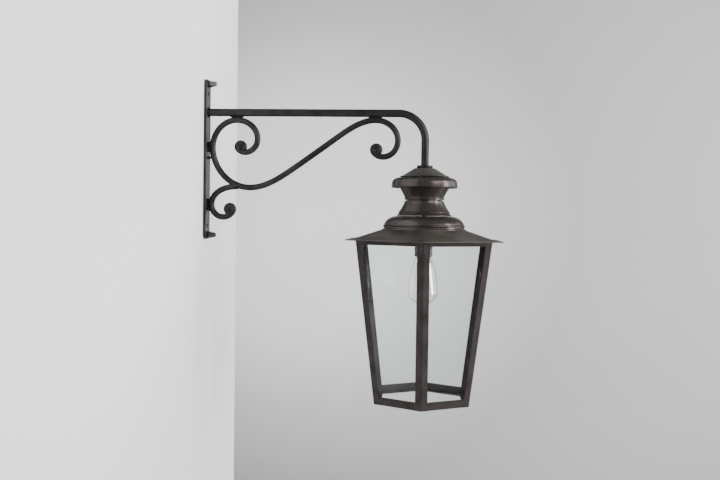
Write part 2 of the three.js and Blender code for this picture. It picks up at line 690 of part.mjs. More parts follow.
function glassPane() {
  const outer = (height) => flatDistance(height) - FRAME_SHEET - GAP;
  const halfWidth = (height) => (outer(height) - GLASS_THICKNESS) * Math.tan(Math.PI / HEX_SIDES) - GAP;
  const [low, high] = [halfWidth(paneFoot), halfWidth(paneTop)];
  const rise = paneTop - paneFoot;
  const shape = outline([[-low, 0], [low, 0], [high, rise], [-high, rise]]);
  const upright = plate(shape, GLASS_THICKNESS).rotateX(Math.PI / 2).rotateZ(Math.PI / 2);
  return leaned(upright, taper * hexFlat).translate(outer(paneFoot) - GLASS_THICKNESS, 0, paneFoot);
}

function glassClip() {
  const shape = outline([
    [0, 0], [0, CLIP_HEIGHT], [-CLIP_THICKNESS, CLIP_HEIGHT], [-CLIP_THICKNESS, CLIP_THICKNESS],
    [-CLIP_FOOT, CLIP_THICKNESS], [-CLIP_FOOT, 0],
  ]);
  const upright = plate(shape, CLIP_WIDTH).rotateX(Math.PI / 2).translate(0, CLIP_WIDTH / 2, 0);
  const face = flatDistance(paneFoot) - FRAME_SHEET - GAP - GLASS_THICKNESS - GAP;
  return leaned(upright, taper * hexFlat).translate(face, 0, paneFoot);
}

add(lantern, 'top_frame', frameRing(bodyTop, -TOP_FRAME_DROP), PATINA);
add(lantern, 'bottom_frame', frameRing(bodyFoot, FRAME_LEG), PATINA);
for (let i = 0; i < HEX_SIDES; i += 1) {
  const corner = post(POST_FLANGE, FRAME_SHEET, 0);
  add(lantern, `corner_post_${i + 1}`, corner, PATINA).rotation.z = cornerAngles[i];
  add(lantern, `glass_pane_${i + 1}`, glassPane(), GLASS).rotation.z = flatAngles[i];
  add(lantern, `glass_clip_${i + 1}`, glassClip(), PATINA).rotation.z = flatAngles[i];
}

// Bridge strap: a flat bar bent up in the middle, its feet under the top frame's flange
function bridgeStrap() {
  const reach = flatDistance(strapFootTop) - FRAME_SHEET - GAP - GLASS_THICKNESS - GAP - GAP;
  const centre = STRAP_CENTRE_LENGTH / 2;
  const heel = reach - STRAP_FOOT_LENGTH;
  const top = [[-reach, 0], [-heel, 0], [-centre, STRAP_RISE], [centre, STRAP_RISE], [heel, 0], [reach, 0]];
  const under = top.map(([x, z]) => [x, z - STRAP_THICKNESS]).reverse();
  const strap = plate(outline([...top, ...under]), STRAP_WIDTH).rotateX(Math.PI / 2)
    .translate(0, STRAP_WIDTH / 2, strapFootTop);
  return cut(strap, [tube(ROD_RADIUS + GAP, 0, strapTop + OVERRUN, strapUnder - OVERRUN, SMALL_FLATS)]);
}

function rodNut(top) {
  const bore = tube(threadBore, 0, top + OVERRUN, top - ROD_NUT_HEIGHT - OVERRUN);
  return cut(tube(ROD_NUT_ACROSS_FLATS / 2 / hexFlat, 0, top, top - ROD_NUT_HEIGHT, HEX_SIDES), [bore]);
}

add(lantern, 'bridge_strap', bridgeStrap(), STEEL);
add(lantern, 'rod_nut_upper', rodNut(strapTop + GAP + ROD_NUT_HEIGHT), BRASS);
add(lantern, 'rod_nut_lower', rodNut(lowerNutTop), BRASS);

// Lampholder: domed top, skirt, insulating insert, screw shell and centre contact
const holderBore = HOLDER_RADIUS - HOLDER_WALL;
const insertRadius = holderBore - GAP;
const shellRadius = LAMP_CAP_RADIUS + THREAD_GAP + SHELL_WALL;

function holderTopLine() {
  const shoulder = point(HOLDER_RADIUS, holderTop);
  const domeFoot = point(HOLDER_RADIUS, holderTop - HOLDER_DOME_HEIGHT);
  const dome = curved(point(HOLDER_ENTRY_RADIUS, holderTop), shoulder, domeFoot);
  return [point(threadBore, holderTop), ...dome, point(HOLDER_RADIUS, holderSeam)];
}

function holderInsert() {
  const foot = insertTop - INSERT_HEIGHT;
  const inner = shellRadius + GAP;
  const hole = CONTACT_STEM_RADIUS + GAP;
  return turned([
    point(hole, insertTop), point(insertRadius, insertTop), point(insertRadius, foot), point(inner, foot),
    point(inner, insertUnder), point(hole, insertUnder),
  ], SMALL_FLATS * 2);
}

function screwShell() {
  const top = insertUnder - GAP;
  const foot = insertTop - INSERT_HEIGHT;
  return turned([
    point(SHELL_PLATE_HOLE_RADIUS, top), point(shellRadius, top), point(shellRadius, foot),
    point(shellRadius - SHELL_WALL, foot), point(shellRadius - SHELL_WALL, top - SHELL_WALL),
    point(SHELL_PLATE_HOLE_RADIUS, top - SHELL_WALL),
  ]);
}

function holderContact() {
  const back = contactFace + CONTACT_THICKNESS;
  return turned([
    point(0, contactFace), point(CONTACT_RADIUS, contactFace), point(CONTACT_RADIUS, back),
    point(CONTACT_STEM_RADIUS, back), point(CONTACT_STEM_RADIUS, insertTop), point(0, insertTop),
  ], SMALL_FLATS);
}

add(lantern, 'holder_top', spun(holderTopLine(), HOLDER_WALL), BAKELITE);
add(lantern, 'holder_skirt', tube(HOLDER_RADIUS, holderBore, holderSeam - GAP, holderFoot), BAKELITE);
add(lantern, 'holder_insert', holderInsert(), CERAMIC);
add(lantern, 'holder_screw_shell', screwShell(), BRASS);
add(lantern, 'holder_contact', holderContact(), BRASS);

// Bulb: screw cap, clear glass and the wired filaments
function bulbCap() {
  const shoulder = lampTip - LAMP_TIP_HEIGHT;
  const inner = LAMP_CAP_RADIUS - LAMP_CAP_WALL;
  return turned([
    point(0, lampTip), point(LAMP_TIP_RADIUS, lampTip), point(LAMP_TIP_RADIUS, shoulder),
    point(LAMP_INSULATOR_RADIUS, shoulder), point(LAMP_CAP_RADIUS, lampCapRim),
    point(LAMP_CAP_RADIUS, lampCapFoot), point(inner, lampCapFoot), point(inner, lampCapCeiling),
    point(0, lampCapCeiling),
  ]);
}

function bulbGlass() {
  const neckTopRadius = LAMP_CAP_RADIUS - LAMP_CAP_WALL - THREAD_GAP;
  const tuck = lampCapFoot + BULB_NECK_TUCK;
  const neckFoot = lampCapFoot - GAP;
  const [pullShare, riseShare] = BULB_SHOULDER_SHARES;
  const pull = point(BULB_RADIUS * pullShare, THREE.MathUtils.lerp(bulbBelly, neckFoot, riseShare));
  const neck = point(BULB_NECK_RADIUS, neckFoot - BULB_GLASS);
  const shoulder = curved(neck, pull, point(BULB_RADIUS, bulbBelly));
  const bottom = new THREE.EllipseCurve(0, bulbBelly, BULB_RADIUS, BULB_BELLY_HEIGHT, 0, -Math.PI / 2, true);
  const dome = bottom.getPoints(CURVE_STEPS).slice(1, -1);
  const outer = [point(neckTopRadius, tuck), point(neckTopRadius, neckFoot), ...shoulder, ...dome];
  const inner = inset(outer, BULB_GLASS);
  const floor = [point(0, bulbFoot), point(0, bulbFoot + BULB_GLASS)];
  return turned([...floor.slice(1), ...inner.reverse(), ...outer, floor[0]]);
}

function wire(start, end, radius) {
  const rod = closed(new THREE.CylinderGeometry(radius, radius, start.distanceTo(end), WIRE_FLATS));
  const along = end.clone().sub(start).normalize();
  const turn = new THREE.Quaternion().setFromUnitVectors(new THREE.Vector3(0, 1, 0), along);
  const middle = start.clone().add(end).divideScalar(2);
  return rod.applyQuaternion(turn).translate(...middle.toArray());
}

function filaments() {
  const high = lampTip - FILAMENT_TOP_DROP;
  const low = high - FILAMENT_LENGTH;
  const onAxis = (height) => new THREE.Vector3(0, 0, height);
  const pieces = [wire(onAxis(lampCapCeiling - GAP), onAxis(low - STEM_RADIUS), STEM_RADIUS)];
  for (let i = 0; i < FILAMENT_COUNT; i += 1) {
    const angle = i / FILAMENT_COUNT * Math.PI * 2;
    const out = new THREE.Vector3(Math.cos(angle), Math.sin(angle), 0);
    const top = onAxis(high).addScaledVector(out, FILAMENT_TOP_RADIUS);
    const foot = onAxis(low).addScaledVector(out, FILAMENT_FOOT_RADIUS);
    pieces.push(wire(onAxis(high), top, FILAMENT_WIRE_RADIUS), wire(onAxis(low), foot, FILAMENT_WIRE_RADIUS));
    pieces.push(wire(top, foot, FILAMENT_RADIUS));
  }
  return join(pieces);
}

add(lantern, 'bulb_cap', bulbCap(), BRASS);
add(lantern, 'bulb_glass', bulbGlass(), GLASS);
add(lantern, 'bulb_filaments', filaments(), FILAMENT);

export default light;
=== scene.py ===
"""Looks of the outdoor wall light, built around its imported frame.

The wall bar, arm and scrolls are painted iron, the lantern is patinated sheet with clear
panes, and a filament bulb hangs in it. Every new piece is a surface worked out with numpy.
Lengths are millimetres, but metres in the studio. Heights are measured from the arm's
centreline.
"""

import logging
import math
from dataclasses import dataclass, field
from enum import Enum

import bmesh
import bpy
import numpy as np
from mathutils import Matrix, Vector


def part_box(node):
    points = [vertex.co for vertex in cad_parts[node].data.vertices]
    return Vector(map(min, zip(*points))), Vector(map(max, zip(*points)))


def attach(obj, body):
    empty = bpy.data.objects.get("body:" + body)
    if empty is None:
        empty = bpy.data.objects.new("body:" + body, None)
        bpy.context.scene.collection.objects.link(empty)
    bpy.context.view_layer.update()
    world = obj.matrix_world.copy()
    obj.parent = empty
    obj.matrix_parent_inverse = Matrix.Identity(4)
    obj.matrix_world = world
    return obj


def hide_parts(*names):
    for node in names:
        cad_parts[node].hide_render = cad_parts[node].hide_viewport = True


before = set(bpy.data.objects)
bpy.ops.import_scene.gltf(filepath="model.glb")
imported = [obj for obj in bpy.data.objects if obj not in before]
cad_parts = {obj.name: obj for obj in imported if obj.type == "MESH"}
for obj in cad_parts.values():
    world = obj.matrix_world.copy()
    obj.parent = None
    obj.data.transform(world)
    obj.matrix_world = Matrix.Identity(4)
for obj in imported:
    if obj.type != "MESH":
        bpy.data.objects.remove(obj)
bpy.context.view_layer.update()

MM = 0.001
BAR_ABOVE_ARM = 74.0
ARM_REACH = 500.0
ARM_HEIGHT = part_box("wall_bar")[1].z / MM - BAR_ABOVE_ARM
HEX_FLAT = math.cos(math.pi / 6)
CURL_POINTS = 150
BRACKET_AT = (0.0, 0.0, ARM_HEIGHT)
LANTERN_AT = (ARM_REACH, 0.0, ARM_HEIGHT)
SHARP_DEGREES = 40.0
DRILLED_DEGREES = 35.0
ROUND_STEPS = 5
ROUND_ROOM_SHARE = 0.4
ROUND_PAST_SHARE = 1.25
FOLD_ROOM_SHARE = 0.3
SHEET_EDGE_SHARE = 0.35

Array = np.ndarray
log = logging.getLogger("wall_light")


class Body(Enum):
    """The CAD bodies that pieces ride on."""

    BRACKET = "bracket"
    LANTERN = "lantern"
    BULB = "bulb"


class Axis(Enum):
    """What a turned piece is turned about."""

    UPRIGHT = "z"
    OUTWARD = "x"


# Lines and profiles


def unit(rows: Array) -> Array:
    """Scale each row to length one: row over the root of its squares' sum.

    Args:
        rows: Vectors, one a row.

    Returns:
        The same vectors at length one.
    """
    length = np.linalg.norm(rows, axis=-1, keepdims=True)
    return rows / np.where(length > 0, length, 1.0)


def bezier(start: tuple, pull: tuple, end: tuple, count: int = 24) -> Array:
    """A quadratic curve: (1-t)^2 start + 2t(1-t) pull + t^2 end, for even t from 0 to 1.

    Args:
        start: First point.
        pull: Control point.
        end: Last point.
        count: How many points.

    Returns:
        Points, one a row.
    """
    t = np.linspace(0.0, 1.0, count)[:, None]
    a, b, c = (np.array(p, float) for p in (start, pull, end))
    return (1 - t) ** 2 * a + 2 * t * (1 - t) * b + t**2 * c


def arc(centre: tuple, radii: tuple, first: float, last: float, count: int = 12) -> Array:
    """Part of an ellipse: centre + (rx cos a, rz sin a), for even a in degrees.

    Args:
        centre: Middle of the ellipse.
        radii: Its two half axes.
        first: Angle of the first point in degrees.
        last: Angle of the last point in degrees.
        count: How many points.

    Returns:
        Points, one a row.
    """
    a = np.radians(np.linspace(first, last, count))
    return np.stack([centre[0] + radii[0] * np.cos(a), centre[1] + radii[1] * np.sin(a)], -1)


@dataclass(frozen=True)
class Roll:
    """A small bead or lip on an edge: part of an ellipse, inward and up from that edge."""

    inward: float
    up: float
    wide: float
    tall: float
    first: float
    last: float
    points: int

    def line(self, radius: float, height: float) -> Array:
        """Its points, from the edge that it stands on.

        Args:
            radius: Of that edge.
            height: Of that edge.

        Returns:
            Points, one a row.
        """
        middle = (radius - self.inward, height + self.up)
        return arc(middle, (self.wide, self.tall), self.first, self.last, self.points)


def inset(line: Array, distance: float) -> Array:
    """The line moved to its right, each point along the mean of its two sides' normals.

    Args:
        line: Points of an open line.
        distance: How far it moves.

    Returns:
        As many points, moved.
    """
    sides = unit(np.diff(line, axis=0))
    before = np.vstack([sides[:1], sides])
    after = np.vstack([sides, sides[-1:]])
    along = unit(before + after)
    reach = distance / np.sum(along * after, axis=1, keepdims=True)
    return line + np.stack([along[:, 1], -along[:, 0]], -1) * reach


def softened(corners: Array, cut: float | Array, ends: bool = False) -> Array:
    """Round a closed polygon's corners with parabolas, each between two points on its sides.

    A corner P becomes (1-t)^2 a + 2t(1-t) P + t^2 b, where a and b lie a cut's length from P.
    A point past each end of the parabola keeps the flat beside it flat when it is shaded.

    Args:
        corners: Corner points, one a row.
        cut: How far from the corner the round starts, for all or for each.
        ends: True for an open line, whose first and last point stay sharp.

    Returns:
        Points of the rounded line.
    """
    before = np.roll(corners, 1, axis=0) - corners
    after = np.roll(corners, -1, axis=0) - corners
    room = ROUND_ROOM_SHARE * np.minimum(np.linalg.norm(before, axis=1), np.linalg.norm(after, axis=1))
    reach = np.minimum(np.broadcast_to(cut, len(corners)), room)
    if ends:
        reach = np.where(np.arange(len(corners)) % (len(corners) - 1) == 0, 0.0, reach)
    reach = reach[:, None]
    a, b = corners + unit(before) * reach, corners + unit(after) * reach
    t = np.linspace(0, 1, ROUND_STEPS)[None, :, None]
    bend = (1 - t) ** 2 * a[:, None] + 2 * t * (1 - t) * corners[:, None] + t**2 * b[:, None]
    early = (corners + unit(before) * reach * ROUND_PAST_SHARE)[:, None]
    late = (corners + unit(after) * reach * ROUND_PAST_SHARE)[:, None]
    rows = np.concatenate([early, bend, late], axis=1).reshape(-1, corners.shape[1])
    step = np.linalg.norm(rows - np.roll(rows, 1, axis=0), axis=1)
    return rows[step > 1e-6]


def sheet(line: Array, thickness: float) -> Array:
    """A closed section of sheet: the line and the same line inset, with eased edges.

    Args:
        line: The outer face from the top down.
        thickness: Of the sheet.

    Returns:
        Closed section.
    """
    ring = np.vstack([line, inset(line, thickness)[::-1]])
    edge = np.zeros(len(ring))
    edge[[0, len(line) - 1, len(line), -1]] = thickness * SHEET_EDGE_SHARE
    return softened(ring, edge)


# Surfaces


def revolve(profile: Array, flats: int = 112, axis: Axis = Axis.UPRIGHT) -> Array:
    """Turn a profile of (r, h) about an axis: (r cos a, r sin a, h) for even a.

    Args:
        profile: Radius and height, one point a row.
        flats: Points in each ring.
        axis: Upright, or outward from the wall, where h becomes x.

    Returns:
        Net of points: rings, places round, xyz.
    """
    a = np.linspace(0, 2 * math.pi, flats, endpoint=False)[None]
    r, h = profile[:, :1], profile[:, 1:] + 0 * a
    if axis is Axis.OUTWARD:
        return np.stack([h, r * np.cos(a), r * np.sin(a)], -1)
    return np.stack([r * np.cos(a), r * np.sin(a), h], -1)


def hexagonal(profile: Array, fold: float) -> Array:
    """Carry a profile of (corner radius, height) round a hexagon with rounded folds.

    Args:
        profile: Corner radius and height, one point a row.
        fold: How far from a corner its round starts.

    Returns:
        Net of points: rings, places round, xyz.
    """
    a = (np.arange(6) / 6 - 1 / 4) * 2 * math.pi
    corners = profile[:, :1, None] * np.stack([np.cos(a), np.sin(a)], -1)[None]
    before = np.roll(corners, 1, axis=1) - corners
    after = np.roll(corners, -1, axis=1) - corners
    cut = np.minimum(fold, profile[:, :1, None] * FOLD_ROOM_SHARE)
    low, high = corners + unit(before) * cut, corners + unit(after) * cut
    t = np.array([-0.4, 0.0, 0.25, 0.5, 0.75, 1.0, 1.4])[None, None, :, None]
    u = np.clip(t, 0, 1)
    bend = (1 - u) ** 2 * low[:, :, None] + u**2 * high[:, :, None]
    bend = bend + 2 * u * (1 - u) * corners[:, :, None]
    past = np.minimum(t, 0) * -1 * (unit(before) * cut)[:, :, None]
    past = past + np.maximum(t - 1, 0) * (unit(after) * cut)[:, :, None]
    flat = (bend + past).reshape(len(profile), -1, 2)
    height = np.broadcast_to(profile[:, 1:, None], flat.shape[:2] + (1,))
    return np.concatenate([flat, height], -1)


def carried(path: Array, headings: Array, radii: Array, around: int = 32) -> Array:
    """Carry a circle along a path in the XZ plane: p + r (cos a n + sin a y), n square to p.

    Args:
        path: X and Z of the path.
        headings: Its direction at each point in radians.
        radii: Circle's radius at each point.
        around: Points in each circle.

    Returns:
        Net of points: rings, places round, xyz.
    """
    a = np.linspace(0, 2 * math.pi, around, endpoint=False)[None]
    across, side = radii[:, None] * np.cos(a), radii[:, None] * np.sin(a)
    x = path[:, :1] - np.sin(headings)[:, None] * across
    z = path[:, 1:] + np.cos(headings)[:, None] * across
    return np.stack([x, side, z], -1)


def bar(path: Array, headings: Array, radius: float | Array, nose: float = 1.2) -> Array:
    """A round bar along a path, with cut ends whose edges are eased to a quarter round.

    Near an end the radius is r - e(1 - cos b) at e(1 - sin b) from it, for b from 90 to 0
    degrees and e the easing.

    Args:
        path: X and Z of the path, whose steps are longer than the easing.
        headings: Its direction at each point in radians.
        radius: Of the bar, for all of it or for each point.
        nose: The easing.

    Returns:
        Closed net that starts and ends in a point.
    """
    radius = np.broadcast_to(radius, len(path))
    b = np.radians(np.linspace(90, 0, 6))
    off = np.concatenate([[0.0], nose * (1 - np.sin(b))])
    first, last = (np.concatenate([[0.0], r - nose * (1 - np.cos(b))]) for r in (radius[0], radius[-1]))
    ahead = np.array([math.cos(headings[0]), math.sin(headings[0])])
    back = np.array([math.cos(headings[-1]), math.sin(headings[-1])])
    points = np.vstack([path[0] + off[:, None] * ahead, path[1:-1], path[-1] - off[::-1, None] * back])
    turn = np.concatenate([np.full(7, headings[0]), headings[1:-1], np.full(7, headings[-1])])
    sizes = np.concatenate([first, radius[1:-1], last[::-1]])
    return carried(points, turn, sizes)


def bent(start: Array, heading: float, stretches: Array, fine: int = 20) -> tuple[Array, Array]:
    """A path whose bend changes evenly along each stretch: the heading is the sum of bend
    times step, and the place is the sum of (cos, sin) of the heading times step.

    Args:
        start: First point.
        heading: First direction in radians.
        stretches: Rows of run, bend at its start and bend at its end.
        fine: Steps in each stretch.

    Returns:
        The points and their headings.
    """
    share = (np.arange(fine) + 0.5) / fine
    run, low, high = (stretches[:, i : i + 1] for i in range(3))
    step = np.repeat(run / fine, fine, axis=1).ravel()
    turn = (low + (high - low) * share).ravel() * step
    end = heading + np.cumsum(turn)
    middle = end - turn / 2
    moves = np.stack([np.cos(middle), np.sin(middle)], -1) * step[:, None]
    points = np.vstack([start, start + np.cumsum(moves, axis=0)])
    return points, np.concatenate([[heading], end])


def lump(size: tuple, ripples: float, depth: float = 0.12) -> Array:
    """A weld bead: an ellipsoid whose radius swells with sin of the place along its length.

    Args:
        size: Half lengths along x, y and z.
        ripples: Ripples from end to end.
        depth: How deep they are, as a share.

    Returns:
        Closed net that starts and ends in a point on the x axis.
    """
    a = np.linspace(0, math.pi, 20)[:, None]
    b = np.linspace(0, 2 * math.pi, 24, endpoint=False)[None]
    x = -np.cos(a)
    swell = 1 + depth * np.sin(x * math.pi * ripples) * np.sin(a)
    ring = np.sin(a) ** 0.8 * swell
    return np.stack([size[0] * x + 0 * b, size[1] * ring * np.cos(b), size[2] * ring * np.sin(b)], -1)


@dataclass
class Shell:
    """Closed nets of points that together make one piece, in millimetres."""

    name: str
    place: tuple = (0.0, 0.0, 0.0)
    points: list = field(default_factory=list)
    quads: list = field(default_factory=list)
    count: int = 0

    def add(
        self, net: Array, ring: bool = False, shift: tuple = (0.0, 0.0, 0.0), turn: float = 0.0
    ) -> "Shell":
        """Add one closed net, with its quads turned outwards by the sign of its volume.

        The volume is the sum of a . (b x c) / 6 over its triangles.

        Args:
            net: Rings, places round, xyz.
            ring: True where the last ring joins the first.
            shift: Where the net is put.
            turn: Degrees about the upright axis before it is put there.

        Returns:
            This shell.
        """
        rings, around = net.shape[:2]
        i = np.arange(rings if ring else rings - 1)[:, None]
        j = np.arange(around)[None]
        here, there = i * around, (i + 1) % rings * around
        after = (j + 1) % around
        quads = np.stack([here + j, here + after, there + after, there + j], -1).reshape(-1, 4)
        c, s = math.cos(math.radians(turn)), math.sin(math.radians(turn))
        flat = net.reshape(-1, 3) @ np.array([[c, s, 0], [-s, c, 0], [0, 0, 1]]) + np.array(shift)
        p = flat[quads] - flat.mean(axis=0)
        volume = np.sum(p[:, 0] * (np.cross(p[:, 1], p[:, 2]) + np.cross(p[:, 2], p[:, 3])))
        if volume < 0:
            quads = quads[:, ::-1]
        self.points.append(flat)
        self.quads.append(quads + self.count)
        self.count += len(flat)
        return self

    def object(self) -> bpy.types.Object:
        """Put the nets into a mesh in metres and close their seams and poles.

        Returns:
            The piece's object, at the origin.
        """
        mesh = bpy.data.meshes.new(self.name)
        points = (np.vstack(self.points) + np.array(self.place)) * MM
        mesh.from_pydata(points.tolist(), [], np.vstack(self.quads).tolist())
        work = bmesh.new()
        work.from_mesh(mesh)
        bmesh.ops.remove_doubles(work, verts=work.verts, dist=1e-7)
        bmesh.ops.dissolve_degenerate(work, edges=work.edges, dist=1e-7)
        work.to_mesh(mesh)
        work.free()
        mesh.shade_smooth()
        mesh.set_sharp_from_angle(angle=math.radians(SHARP_DEGREES))
        piece = bpy.data.objects.new(self.name, mesh)
        bpy.context.scene.collection.objects.link(piece)
        return piece


# Finishes


class Wiring:
    """A node tree with short ways to add nodes and links."""

    def __init__(self, tree: bpy.types.NodeTree) -> None:
        """Keep the tree that is wired.

        Args:
            tree: A material's or a group's tree.
        """
        self.tree = tree

    def node(self, kind: str, links: dict | None = None, **values: object) -> bpy.types.Node:
        """Add a node, set its properties or sockets and join its inputs.

        Args:
            kind: The node's type.
            links: Output sockets by the input's name or number.
            **values: Properties; where the node has none so named, its input of that name.

        Returns:
            The node.
        """
        made = self.tree.nodes.new(kind)
        for name, value in values.items():
            if hasattr(made, name):
                setattr(made, name, value)
            else:
                made.inputs[name.replace("_", " ").title()].default_value = value
        for name, output in (links or {}).items():
            self.tree.links.new(output, made.inputs[name])
        return made

    def ramp(self, source: bpy.types.NodeSocket, stops: list[tuple[float, tuple]]) -> bpy.types.NodeSocket:
        """Turn a value into a colour.

        Args:
            source: The value.
            stops: Places from 0 to 1 with their colours.

        Returns:
            The colour.
        """
        made = self.node("ShaderNodeValToRGB", {"Fac": source})
        points = made.color_ramp.elements
        while len(points) < len(stops):
            points.new(0.5)
        for point, (place, colour) in zip(points, stops):
            point.position, point.color = place, (*colour, 1.0)
        return made.outputs["Color"]

    def span(
        self, source: bpy.types.NodeSocket, low: float, high: float, to: tuple
    ) -> bpy.types.NodeSocket:
        """Map a value from one range to another.

        Args:
            source: The value.
            low: Start of its range.
            high: End of its range.
            to: The two ends that they become.

        Returns:
            The mapped value.
        """
        made = self.node("ShaderNodeMapRange", {"Value": source})
        for name, value in zip(("From Min", "From Max", "To Min", "To Max"), (low, high, *to)):
            made.inputs[name].default_value = value
        return made.outputs["Result"]


def new_group(name: str, inputs: dict, outputs: dict) -> tuple[Wiring, bpy.types.Node, bpy.types.Node]:
    """Make an empty shader group with named sockets.

    Args:
        name: The group's name.
        inputs: Float inputs with their values.
        outputs: Socket types by name.

    Returns:
        Its wiring, its input node and its output node.
    """
    tree = bpy.data.node_groups.new(name, "ShaderNodeTree")
    for label, value in inputs.items():
        socket = tree.interface.new_socket(name=label, in_out="INPUT", socket_type="NodeSocketFloat")
        socket.default_value = value
    for label, kind in outputs.items():
        tree.interface.new_socket(name=label, in_out="OUTPUT", socket_type=kind)
    wiring = Wiring(tree)
    return wiring, wiring.node("NodeGroupInput"), wiring.node("NodeGroupOutput")


def mottle_group() -> bpy.types.NodeTree:
    """Clouds and specks: broad noise mixed with fine noise, both on Object coordinates.

    Returns:
        The group, with outputs Clouds and Specks.
    """
    kinds = {"Clouds": "NodeSocketFloat", "Specks": "NodeSocketFloat"}
    wiring, given, out = new_group("mottle", {"Clouds": 30.0, "Specks": 400.0}, kinds)
    place = wiring.node("ShaderNodeTexCoord").outputs["Object"]
    for name, detail in (("Clouds", 5.0), ("Specks", 3.0)):
        source = {"Vector": place, "Scale": given.outputs[name]}
        noise = wiring.node("ShaderNodeTexNoise", source, Detail=detail)
        clear = wiring.span(noise.outputs["Fac"], 0.3, 0.7, (0.0, 1.0))
        wiring.tree.links.new(clear, out.inputs[name])
    return wiring.tree


def turned_group() -> bpy.types.NodeTree:
    """Marks of turning: noise that changes with height alone, so it runs round the piece.

    Returns:
        The group, with output Lines.
    """
    wiring, given, out = new_group("turned_marks", {"Scale": 900.0}, {"Lines": "NodeSocketFloat"})
    place = wiring.node("ShaderNodeTexCoord").outputs["Object"]
    height = wiring.node("ShaderNodeSeparateXYZ", {"Vector": place}).outputs["Z"]
    only = wiring.node("ShaderNodeCombineXYZ", {"Z": height})
    source = {"Vector": only.outputs[0], "Scale": given.outputs["Scale"]}
    noise = wiring.node("ShaderNodeTexNoise", source, Detail=2.0)
    wiring.tree.links.new(noise.outputs["Fac"], out.inputs["Lines"])
    return wiring.tree


class Groups:
    """The node groups that more than one finish uses, each built once."""

    def __init__(self) -> None:
        """Build them."""
        self.mottle = mottle_group()
        self.turned = turned_group()


CLOUD_START, CLOUD_END = 0.1, 0.9
SPECK_DEPTH, LINE_DEPTH, WAVE_DEPTH = 0.0003, 0.0004, 0.0005
WAVE_SCALE = 9.0
COAT_ROUGHNESS = 0.15
WARM_SHARE = 0.8


@dataclass(frozen=True)
class Metal:
    """A painted, patinated or bare metal with clouds, specks and a little relief."""

    name: str
    slot: str
    dark: tuple
    light: tuple
    metallic: float
    roughness: tuple
    clouds: float = 28.0
    specks: float = 500.0
    relief: float = 0.15
    turned: float = 0.0
    coat: float = 0.0
    edge: tuple = (1.0, 1.0, 1.0)
    gloss: float = 0.5

    def material(self, groups: Groups) -> bpy.types.Material:
        """Build the finish.

        Args:
            groups: Shared node groups.

        Returns:
            The material.
        """
        made, wiring, shader, _ = new_material(self.name)
        mottle = wiring.node("ShaderNodeGroup", node_tree=groups.mottle)
        mottle.inputs["Clouds"].default_value = self.clouds
        mottle.inputs["Specks"].default_value = self.specks
        clouds, specks = mottle.outputs
        join = wiring.tree.links.new
        stops = [(CLOUD_START, self.dark), (CLOUD_END, self.light)]
        join(wiring.ramp(clouds, stops), shader.inputs["Base Color"])
        join(wiring.span(specks, 0.0, 1.0, self.roughness), shader.inputs["Roughness"])
        shader.inputs["Metallic"].default_value = self.metallic
        shader.inputs["Coat Weight"].default_value = self.coat
        shader.inputs["Coat Roughness"].default_value = COAT_ROUGHNESS
        shader.inputs["Specular Tint"].default_value = (*self.edge, 1.0)
        shader.inputs["Specular IOR Level"].default_value = self.gloss
        fine = wiring.node(
            "ShaderNodeBump", {"Height": specks}, Strength=self.relief, Distance=SPECK_DEPTH
        )
        normal = fine.outputs["Normal"]
        if self.turned > 0:
            lines = wiring.node("ShaderNodeGroup", node_tree=groups.turned).outputs["Lines"]
            source = {"Height": lines, "Normal": normal}
            marks = wiring.node("ShaderNodeBump", source, Strength=self.turned, Distance=LINE_DEPTH)
            normal = marks.outputs["Normal"]
        join(normal, shader.inputs["Normal"])
        return made


@dataclass(frozen=True)
class ClearGlass:
    """Glass that lets lamps shine through it, with a faint unevenness."""

    name: str
    slot: str
    tint: tuple
    waviness: float
    specular: float = 0.5
    bend: float = 1.45

    def material(self, groups: Groups) -> bpy.types.Material:
        """Build the finish.

        Args:
            groups: Shared node groups.

        Returns:
            The material.
        """
        made, wiring, shader, surface = new_material(self.name)
        shader.inputs["Base Color"].default_value = (*self.tint, 1.0)
        shader.inputs["Roughness"].default_value = 0.0
        shader.inputs["IOR"].default_value = self.bend
        shader.inputs["Transmission Weight"].default_value = 1.0
        shader.inputs["Specular IOR Level"].default_value = self.specular
        mottle = wiring.node("ShaderNodeGroup", node_tree=groups.mottle)
        mottle.inputs["Clouds"].default_value = WAVE_SCALE
        source = {"Height": mottle.outputs["Clouds"]}
        waves = wiring.node("ShaderNodeBump", source, Strength=self.waviness, Distance=WAVE_DEPTH)
        wiring.tree.links.new(waves.outputs["Normal"], shader.inputs["Normal"])
        through = wiring.node("ShaderNodeBsdfTransparent")
        through.inputs["Color"].default_value = (*self.tint, 1.0)
        shadow = wiring.node("ShaderNodeLightPath").outputs["Is Shadow Ray"]
        source = {0: shadow, 1: shader.outputs[0], 2: through.outputs[0]}
        mix = wiring.node("ShaderNodeMixShader", source)
        wiring.tree.links.new(mix.outputs[0], surface)
        return made


@dataclass(frozen=True)
class Glow:
    """A pale strip with emission: painted light, a glow on a part that is no lit lamp."""

    name: str
    slot: str
    colour: tuple
    strength: float

    def material(self, groups: Groups) -> bpy.types.Material:
        """Build the finish.

        Args:
            groups: Shared node groups.

        Returns:
            The material.
        """
        made, wiring, shader, _ = new_material(self.name)
        mottle = wiring.node("ShaderNodeGroup", node_tree=groups.mottle)
        warm = tuple(WARM_SHARE * part for part in self.colour)
        colour = wiring.ramp(mottle.outputs["Specks"], [(0.0, warm), (1.0, self.colour)])
        wiring.tree.links.new(colour, shader.inputs["Base Color"])
        wiring.tree.links.new(colour, shader.inputs["Emission Color"])
        shader.inputs["Emission Strength"].default_value = self.strength
        shader.inputs["Roughness"].default_value = 0.5
        return made


